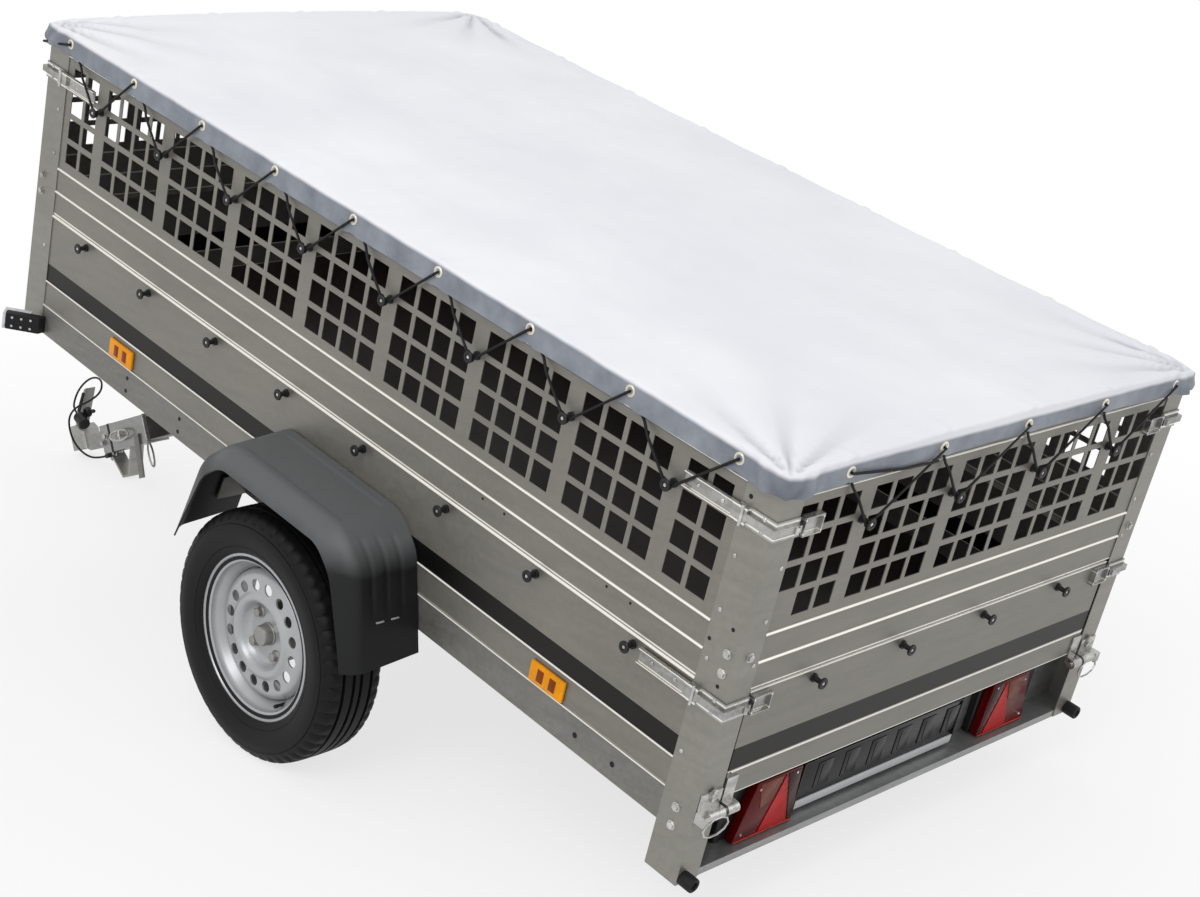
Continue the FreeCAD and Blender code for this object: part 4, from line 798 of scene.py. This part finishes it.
# The number plate holder: a black moulded tray between the lamps with a raised rim, ribs that
# press on the plate, and a pale blank strip along its foot.
strip_pale = moulded("strip_pale", rgb(186, 188, 190), 0.35, 0.05, 1.08)
gloss_black = moulded("holder_black", rgb(14, 14, 15), 0.2, 0.08, Specular_IOR_Level=0.3)
PLATE_X0, PLATE_X1, PLATE_LOW, PLATE_HIGH, PLATE_FACE = -290.0, 230.0, -75.0, 37.0, 34.0
LIP_FACE, PLATE_BACK = PLATE_FACE - 3.0, PLATE_FACE + 1.0
tray_blocks = [(PLATE_X0, PLATE_X1, PLATE_FACE, 38, PLATE_LOW, PLATE_HIGH, 1.2),
               (PLATE_X0, PLATE_X1, 38, 57.7, PLATE_LOW, PLATE_LOW + 17, 1.5),
               (PLATE_X0, PLATE_X1, LIP_FACE, PLATE_BACK, PLATE_HIGH - 4, PLATE_HIGH, 1.2)]
tray_blocks += [(x, x + 4, LIP_FACE, PLATE_BACK, PLATE_LOW, PLATE_HIGH, 1.2)
                for x in (PLATE_X0, PLATE_X1 - 4)]
for x in range(-240, 200, 84):
    tray_blocks += [(x, x + 46, PLATE_FACE - 1.6, PLATE_BACK, -38, 22, 1.0),
                    (x + 12, x + 18, PLATE_FACE - 2.6, PLATE_FACE, -30, 14, 0.8)]
holder = [painted(slab(*block), gloss_black) for block in tray_blocks]
strip = slab(PLATE_X0 + 3, PLATE_X1 - 3, PLATE_FACE - 2.4, PLATE_BACK, PLATE_LOW + 2, PLATE_LOW + 21, 0.8)
holder.append(painted(strip, strip_pale))
fitted("plate_holder", holder, PARK, "bed", ["number_plate"])

# The side markers: black rubber arms that lean out from the rails in front, each with a white lens
# round its tip and six screws in its rear face.
ARM_REACH, ARM_AHEAD = 70.0, 62.0
MARKER_HEIGHT = 42.0
arm_length = hypot(ARM_REACH, ARM_AHEAD)
arm_way = Vector((-ARM_REACH, ARM_AHEAD, 0)) / arm_length
arm_ahead = Vector((ARM_AHEAD, ARM_REACH, 0)) / arm_length
arm_root = Vector((-SIDE + 1.7, LENGTH - 96, 3.0))


def marker_place(along, front, up=0.0):
    """A point of the left arm: along it, ahead of its middle and up from its foot."""
    return arm_root + arm_way * along + arm_ahead * front + Vector((0, 0, up))


def marker_block(outline, material, edge):
    """A block of the marker's height, cut to an outline in the arm's own directions."""
    block = cut_plate([marker_place(*point).xy for point in outline], MARKER_HEIGHT, edge, 3)
    block.data.transform(Matrix.Translation((0, 0, arm_root.z)))
    return painted(block, material)


clear_lens = glossy("marker_clear", rgb(224, 226, 230), 80.0)
arm = marker_block([(14, -14), (arm_length, -14), (arm_length, 8), (-4, 8)], black_rubber, 2.4)
dots = []
for along in (34, 56, 78):
    for up in (10, 32):
        dot = turned(((0, 3.2), (1.2, 2.8)), marker_place(along, -14, up), -arm_ahead, 12)
        dots.append(painted(dot, strip_pale))
fitted("marker_arm_pair", both_sides([arm] + dots), PARK, "bed", ["marker_arms"])
tip_in, tip_out, lens_root = arm_length + 0.4, arm_length + 7.6, arm_length * 0.4
lens = marker_block([(tip_in, -13), (tip_out, -13), (tip_out, 22.8), (lens_root, 22.8),
                     (lens_root, 8.4), (tip_in, 8.4)], clear_lens, 1.4)
fitted("marker_lens_pair", both_sides([lens]), PARK, "bed", ["marker_lenses"])

# The side reflectors: moulded amber blocks stuck to the rails, before and behind each wheel.  Each
# has two cells behind a raised rim.
amber_rim = glossy("reflector_amber", rgb(248, 160, 0))
amber_cell = glossy("reflector_cell", rgb(140, 60, 0), 220.0)
reflectors = []
for y in (408, 1902):
    reflectors.append(painted(slab(-650.3, -643.3, y - 47.5, y + 47.5, 78, 122, 2.2, 3), amber_rim))
    for side in (-1, 1):
        cell = slab(-650.9, -649, y + side * 17 - 9, y + side * 17 + 9, 86, 113, 1.0, 2)
        reflectors.append(painted(cell, amber_cell))
fitted("amber_reflectors", both_sides(reflectors), PARK, "bed", ["side_reflectors"])

# The rear buffers: short black rubber tubes fixed under the rear corner posts, one on each side,
# where they meet a ramp or a wall first.
tube_steps = ((0, 14.2), (4, 15), (27, 15), (29.6, 14.4), (30.7, 12.8), (30.7, 8.4), (26, 7.2))
buffer = painted(turned(tube_steps, (-630, -0.3, -83), REAR, 28), black_rubber)
fitted("rubber_buffers", both_sides([buffer]), PARK, "bed", ["rear_buffers"])

# The mudguards: black moulded arches in five flats with soft corners and a flared outer lip, with
# a lighter grey painted on top as a reflection of the sky.  The crown has a shallow recessed panel,
# and the rear flap has three grooves and two short bright dashes.
GUARD_TOP = 372
CROWN_ARCH = [(-338, 110), (-275, 318), (-203, GUARD_TOP), (175, GUARD_TOP), (260, 293), (306, 110)]
LIP_ARCH = [(-318, 110), (-237, 291), (-183, 335), (151, 335), (203, 291), (271, 110)]
ARC_STEPS = 6


def softened(arch, cut):
    """The arch with its inner corners rounded, as points that two arches share one for one."""
    path = [Vector(arch[0])]
    for before, corner, after in zip(arch, arch[1:], arch[2:]):
        before, corner, after = Vector(before), Vector(corner), Vector(after)
        start = corner + (before - corner).normalized() * cut
        end = corner + (after - corner).normalized() * cut
        for i in range(ARC_STEPS + 1):
            share = i / ARC_STEPS
            path.append(start.lerp(corner, share).lerp(corner.lerp(end, share), share))
    return path + [Vector(arch[-1])]


def divided(path, counts):
    """The straight runs of a path divided, the same way for both arches."""
    points = [path[0]]
    run = 0
    for i, (a, b) in enumerate(zip(path, path[1:])):
        straight = i % (ARC_STEPS + 1) == 0
        parts = counts[run] if straight else 1
        run += straight
        points += [a.lerp(b, (k + 1) / parts) for k in range(parts)]
    return points


run_counts = (46, 10, 78, 14, 30)
crown_line = divided(softened(CROWN_ARCH, 30), run_counts)
lip_line = divided(softened(LIP_ARCH, 24), run_counts)
INNER_X, EDGE_X, LIP_X, GUARD_RISE = -646.3, -795.0, -829.6, 14.0
EDGE_SHARE, FLARE_SHARE = 0.68, 0.86
stations = [i / 48 for i in range(49)]


def guard_point(row, share):
    """A point of the outer skin: across the crown first, round its edge, then down the flare."""
    crown, lip = crown_line[row], lip_line[row]
    inner = Vector((INNER_X, crown.x, crown.y + GUARD_RISE))
    edge = Vector((EDGE_X, crown.x, crown.y))
    tip = Vector((LIP_X, lip.x, lip.y))
    before = edge.lerp(inner, 0.10)
    after = edge.lerp(tip, 0.42)
    if share < EDGE_SHARE:
        return inner.lerp(before, share / EDGE_SHARE)
    if share < FLARE_SHARE:
        turn = (share - EDGE_SHARE) / (FLARE_SHARE - EDGE_SHARE)
        return before.lerp(edge, turn).lerp(edge.lerp(after, turn), turn)
    return after.lerp(tip, (share - FLARE_SHARE) / (1 - FLARE_SHARE))


def slope(value, low, high):
    """0 below low and 1 above high, with a smooth rise between."""
    share = min(1.0, max(0.0, (value - low) / (high - low)))
    return share * share * (3 - 2 * share)


def guard_relief(point):
    """How far the skin is pressed in there: the crown's panel and the grooves between the ribs."""
    x, y, z = point
    in_x = slope(x, -775, -769) * (1 - slope(x, -671, -665))
    in_y = slope(y, -183, -177) * (1 - slope(y, 150, 156))
    if y < -215:
        grooves = sum(2.4 * exp(-((x - middle) / 5.5) ** 2) for middle in (-686, -722, -758))
        return grooves * slope(z, 190, 260) * (1 - slope(z, 345, 362))
    return 1.8 * in_x * in_y if z > 360 else 0.0


bpy.ops.object.select_all(action="DESELECT")
last_column, last_row = len(stations) - 1, len(crown_line) - 1
bpy.ops.mesh.primitive_grid_add(x_subdivisions=last_column, y_subdivisions=last_row, size=2)
guard = bpy.context.active_object
for vertex in guard.data.vertices:
    column = round((vertex.co.x + 1) / 2 * last_column)
    row = round((vertex.co.y + 1) / 2 * last_row)
    vertex.co = guard_point(row, stations[column])
bpy.ops.object.mode_set(mode="EDIT")
close_mesh()
skin_out = [vertex.normal.copy() for vertex in guard.data.vertices]
centre = Vector((-700, 0, 150))
for vertex, normal in zip(guard.data.vertices, skin_out):
    outward = normal if normal.dot(vertex.co - centre) > 0 else -normal
    vertex.co -= outward * guard_relief(vertex.co)
if sum(normal.dot(vertex.co - centre) for vertex, normal in zip(guard.data.vertices, skin_out)) < 0:
    guard.data.flip_normals()
wall = guard.modifiers.new("wall", "SOLIDIFY")
wall.thickness = 3.6
wall.offset = -1
bpy.ops.object.modifier_apply(modifier="wall")
guard.data.transform(Matrix.Translation((0, AXLE.y, AXLE.z)))
skin = Finish("mudguard_plastic", Specular_IOR_Level=0.3)
skin_place = skin.place()
skin_height = skin.axes(skin.place(PARK))[2] - AXLE.z
dulled = skin.noise(skin_place, 14.0, 3.0)
# Painted reflection: the black turns grey towards the top of the arch, with noise along the boundary.
painted_top_sheen = skin.ramp(skin_height + dulled * 24.0, GUARD_TOP - 66.0, GUARD_TOP - 12.0)
skin.set("Base Color", skin.mix(painted_top_sheen, rgb(13, 14, 15), rgb(92, 95, 96)))
skin.set("Roughness", dulled * 0.12 + 0.42)
skin.bump(skin.noise(skin_place, 900.0, 2.0), 0.35, 0.0003)
painted(guard, skin.material)
dash_metal = moulded("dash_pale", rgb(150, 150, 148), 0.3, 0.0)
dashes = []
for x in (-704, -742):
    dash = slab(x - 10, x + 10, -2, 2, -1.6, 1.6, 1.2, 2)
    dash.data.transform(Matrix.Translation((0, AXLE.y - 311.6, AXLE.z + 205)))
    dashes.append(painted(dash, dash_metal))
fitted_pair("mudguard_arch", [guard] + dashes, ["bed"], "mudguard", crease=50)


# The tyres: black rubber on thirteen inch wheels, with four grooves round the tread, slots across
# both shoulders, and faint rings on the walls.
def hoop(profile, sides):
    """A ring made from a circle, drawn through the closed profile of height and radius."""
    piece = new_circle(sides, profile[0][1], "NOTHING")
    bpy.ops.object.mode_set(mode="EDIT")
    draw_out(profile + profile[:1])
    bpy.ops.mesh.select_all(action="SELECT")
    bpy.ops.mesh.remove_doubles(threshold=0.01)
    close_mesh()
    piece.data.transform(Matrix.Translation((0, 0, profile[0][0])))
    return piece


half_wall = [(60, 166.5), (61.5, 180.6), (66, 185), (70, 192), (71.2, 196), (70.6, 197.2), (72.6, 199),
             (75.6, 210), (77.4, 222), (77.9, 231), (77, 238), (75.6, 244.6), (74, 245.2), (74.8, 247.2),
             (72.8, 253), (69.6, 258.6), (66, 263.6), (60.5, 268.4), (56, 270.6), (50, 271.8),
             (39.5, 272.8), (38.5, 266.6), (32.5, 266.6), (31.5, 273.2), (13.6, 273.5), (12.6, 267.2),
             (6.6, 267.2), (5.6, 273.6)]
tyre_profile = half_wall + [(-h, r) for h, r in reversed(half_wall)]
tyre_profile += [(-48, 166.5), (-55, 236), (-48, 254), (48, 254), (55, 236), (48, 166.5)]
TYRE_SIDES = 216
SLOT_EVERY, SLOT_DEPTH = 4, 5.0
tyre = hoop(tyre_profile, TYRE_SIDES)
for vertex in tyre.data.vertices:
    height, radius = abs(vertex.co.z), hypot(vertex.co.x, vertex.co.y)
    if 49.0 < height < 70.5 and radius > 257:
        index = round(atan2(vertex.co.y, vertex.co.x) / (2 * pi) * TYRE_SIDES)
        if index % SLOT_EVERY == 0:
            shrink = (radius - SLOT_DEPTH) / radius
            vertex.co.x *= shrink
            vertex.co.y *= shrink
tyre_rubber = moulded("tyre_rubber", rgb(11, 11, 11), 0.5, 0.35, Specular_IOR_Level=0.2)
WHEEL_X = -732.5
wheel_stand = facing((WHEEL_X, AXLE.y, AXLE.z), FRONT, (0, 0, -1))
tyre.data.transform(wheel_stand)
painted(tyre, tyre_rubber)
wheels = ["wheel_left", "wheel_right"]
fitted_pair("road_tyre", [tyre], wheels, "tyre", crease=32)

# The wheels: a rolled steel rim and a pressed disc welded in it, painted silver.  The disc has a
# ring of sixteen round vents, a raised ring and a sunk centre with four nuts and the grease cap.
rim_silver = moulded("rim_silver", rgb(168, 169, 171), 0.30, 0.05, 1.12, Metallic=0.45)
nut_steel = moulded("nut_steel", rgb(142, 141, 137), 0.28, 0.05, 1.2, Metallic=0.7)
VENTS, VENT_RING, VENT_RADIUS = 16, 110, 12.6
NUTS, NUT_RING = 4, 50
rim_outer = [(63.5, 176), (63.2, 179.4), (61.6, 181), (59.8, 179.6), (58.8, 176), (58.4, 168.4),
             (56, 165.2), (45, 163.6), (42, 161), (37.5, 158.6), (26, 149), (22, 146.6), (0, 145.4)]
rim_inner = [(h - 0.2 if h > 50 else h, r - 3.4) for h, r in rim_outer[4:]]
rim_half = rim_outer + [(-h, r) for h, r in reversed(rim_outer[:-1])]
rim_back = [(-h, r) for h, r in rim_inner[:-1]] + [(h, r) for h, r in reversed(rim_inner)]
rim_loop = rim_half + [(-60.4, 174.0)] + rim_back + [(60.4, 174.0)]
barrel = painted(hoop(rim_loop, 96), rim_silver)
disc_face = [(22, 142.4), (31, 139.6), (38.5, 134), (42, 127), (42.6, 120), (42.6, 99), (44.6, 94), (49, 90),
             (51, 85), (50.6, 80), (47, 75), (38, 70), (28, 65.6), (23.4, 60), (22.2, 54), (22.2, 25.2)]
disc_loop = disc_face + [(h - 3.6, r) for h, r in reversed(disc_face)]
disc = hoop(disc_loop, 128)
drills = []
for i in range(VENTS):
    turn = 2 * pi * i / VENTS
    place = (VENT_RING * cos(turn), VENT_RING * sin(turn), 30)
    drills.append(turned(((0, VENT_RADIUS), (30, VENT_RADIUS)), place, (0, 0, 1), 24))
pick(drills)
bpy.ops.object.join()
pick([disc])
vents = disc.modifiers.new("vents", "BOOLEAN")
vents.operation = "DIFFERENCE"
vents.object = drills[0]
bpy.ops.object.modifier_apply(modifier="vents")
bpy.data.objects.remove(drills[0])
painted(disc, rim_silver)
up = (0, 0, 1)
valve_steps = ((0, 5), (3, 5), (4, 3.6), (24, 3.4), (24.4, 4.2), (31, 4.2), (32, 3.2))
cap_steps = ((18, 25), (25, 25), (26.4, 23.4), (40, 22.6), (45.6, 20), (47.6, 13), (48, 4))
valve = painted(turned(valve_steps, (-96, 116, 24), up, 14), black_rubber)
hub = [painted(turned(((-44, 66), (18.2, 66)), (0, 0, 0), up, 40), section_steel),
       painted(turned(cap_steps, (0, 0, 0), up, 32), nut_steel)]
for i in range(NUTS):
    turn = radians(45 + 360 / NUTS * i)
    place = (NUT_RING * cos(turn), NUT_RING * sin(turn), 22)
    hub.append(painted(turned(((0, 13.4), (1.6, 13.4), (4, 10.4)), place, up, 24), nut_steel))
    hub.append(painted(turned(((3.4, 10.4), (13, 10.4), (14.6, 8.4), (15, 5.4)), place, up, 6), nut_steel))
rim = [barrel, disc, valve]
for piece in rim + hub:
    piece.data.transform(wheel_stand)
fitted_pair("steel_wheel", rim, wheels, "rim", crease=40)
fitted_pair("hub_and_nuts", hub, wheels, "hub")


# The floor of the box: one sheet of dark film-faced plywood, laid on the cross-members between the
# boards.
dress(["floor_panel"], moulded("film_plywood", rgb(40, 30, 26), 0.35, 0.2))

# The drawbar's front end: the raised grey handle of the coupling with its rubber grip, a second plug
# that hangs from it, and the nose's bolts, collar and black band.
NOSE_X, NOSE_UNDER = -34.4, -41.4
grey_handle = moulded("handle_grey", rgb(128, 128, 125), 0.28, 0.1, Metallic=0.4)
handle = cut_plate([(1286, 64.3), (1314, 64.3), (1290, 96), (1220, 163), (1206, 163), (1262, 96)], 34, 3.2, 3)
handle.data.transform(facing((17, 0, 0), (0, 1, 0), (0, 0, 1)) @ Matrix.Translation((0, 0, -34)))
painted(handle, grey_handle)
grip = cut_plate([(1270, 98), (1281, 104), (1228, 154), (1217, 150)], 3, 1.0, 2)
grip.data.transform(facing((-17.6, 0, 0), (0, 1, 0), (0, 0, 1)) @ Matrix.Scale(-1, 4, (0, 0, 1)))
grip.data.flip_normals()
painted(grip, black_rubber)
fitted("locking_handle", [handle, grip], SWING, "drawbar", ["coupling_handle"])
knob_steps = ((0, 9), (3, 13.5), (5, 15), (16, 15), (18, 13.8), (18, 10), (14, 9))
knob = painted(turned(knob_steps, (-19, 1204, 92), LEFT, 12), black_plastic)
knob_tail = painted(turned(((0, 6), (10, 6), (14, 4)), (-19, 1204, 92), RIGHT, 12), black_plastic)
fitted("second_plug", [knob, knob_tail], SWING, "drawbar")
nose_trim = []
for along, up in ((1122, 8), (1142, -10)):
    nose_trim.append(turned(((0, 10), (1.8, 10), (2, 9)), (NOSE_X, along, up), LEFT, 20))
    nose_trim.append(turned(((1.8, 8), (8.2, 8), (9, 6.8)), (NOSE_X, along, up), LEFT, 6))
nose_trim.append(slab(-36.6, 36.6, 901, 907, -43.2, 43.2, 1.2, 2))
nose_trim.append(turned(((0, 8), (6, 8), (7, 6.6)), (0, 1120, NOSE_UNDER), (0, 0, -1), 6))
nose_trim.append(turned(((0, 11), (20, 11), (24, 8)), (-12, 1140, NOSE_UNDER), (0, 0, -1), 20))
for piece in nose_trim:
    painted(piece, bright_zinc)
band = painted(slab(-35.8, 35.8, 1096, 1106, -42.4, 42.4, 1.4, 2), black_plastic)
fitted("nose_fittings", nose_trim + [band], SWING, "drawbar")
dome = turned(((0, 21), (4, 21), (10, 18.5), (14, 12), (15.6, 5)), (0, 1298, 60), (0, 0, 1), 24)
fitted("coupling_dome", [painted(dome, nose_zinc)], SWING, "drawbar")


# The studio: a white floor that keeps the trailer's shadow, a white surround, and three soft lamps,
# at the left, at the right behind, and overhead.
bpy.ops.object.select_all(action="DESELECT")
bpy.ops.mesh.primitive_plane_add(size=60.0, location=(0, 0, 0))
floor = bpy.context.active_object
floor.name = "studio_floor"
paint = Finish("floor_paint", Roughness=0.9, Specular_IOR_Level=0.1)
paint.set("Base Color", (0.9, 0.9, 0.9, 1.0))
seen_direct = paint.add("ShaderNodeLightPath", out="Is Camera Ray")
seen_in_metal = paint.add("ShaderNodeLightPath", out="Is Glossy Ray")
away = paint.add("ShaderNodeVectorMath", {"operation": "LENGTH"}, {0: paint.place()},
                        out="Value")
NEAR_WHITE = 0.74
brighter = paint.ramp(away, 1.5, 3.2) * (1 - NEAR_WHITE) + NEAR_WHITE
white_share = (seen_direct + seen_in_metal) * brighter
glow = paint.add("ShaderNodeEmission", {}, {"Strength": 1.0})
matt = Value(paint, paint.shader.outputs[0])
both = paint.add("ShaderNodeMixShader", {}, {0: white_share, 1: matt, 2: glow})
paint.tree.links.new(both.socket, paint.tree.nodes["Material Output"].inputs["Surface"])
floor.data.materials.append(paint.material)

world = bpy.data.worlds.new("studio")
scene.world = world
world.use_nodes = True
sky = world.node_tree
background = sky.nodes["Background"]
paths = sky.nodes.new("ShaderNodeLightPath")
seen = sky.nodes.new("ShaderNodeMath")
seen.operation = "MAXIMUM"
sky.links.new(paths.outputs["Is Camera Ray"], seen.inputs[0])
sky.links.new(paths.outputs["Is Glossy Ray"], seen.inputs[1])
strength = sky.nodes.new("ShaderNodeMapRange")
strength.inputs["To Min"].default_value = 0.62
strength.inputs["To Max"].default_value = 1.0
sky.links.new(seen.outputs[0], strength.inputs["Value"])
sky.links.new(strength.outputs[0], background.inputs["Strength"])
background.inputs["Color"].default_value = (1.0, 1.0, 1.0, 1.0)


def soft_lamp(name, place, aim, size, power):
    data = bpy.data.lights.new(name, "AREA")
    data.size = size
    data.energy = power
    lamp = bpy.data.objects.new(name, data)
    scene.collection.objects.link(lamp)
    direction = Vector(aim) - Vector(place)
    turn = direction.to_track_quat("-Z", "Y").to_matrix().to_4x4()
    lamp.matrix_world = Matrix.Translation(place) @ turn


soft_lamp("key", (-5.0, -3.0, 5.5), (0, 0, 0.6), 4.0, 190.0)
soft_lamp("fill", (3.5, -6.0, 3.0), (0, 0, 0.5), 4.0, 55.0)
soft_lamp("top", (0.0, 1.0, 6.0), (0, 0, 0.6), 5.0, 36.0)
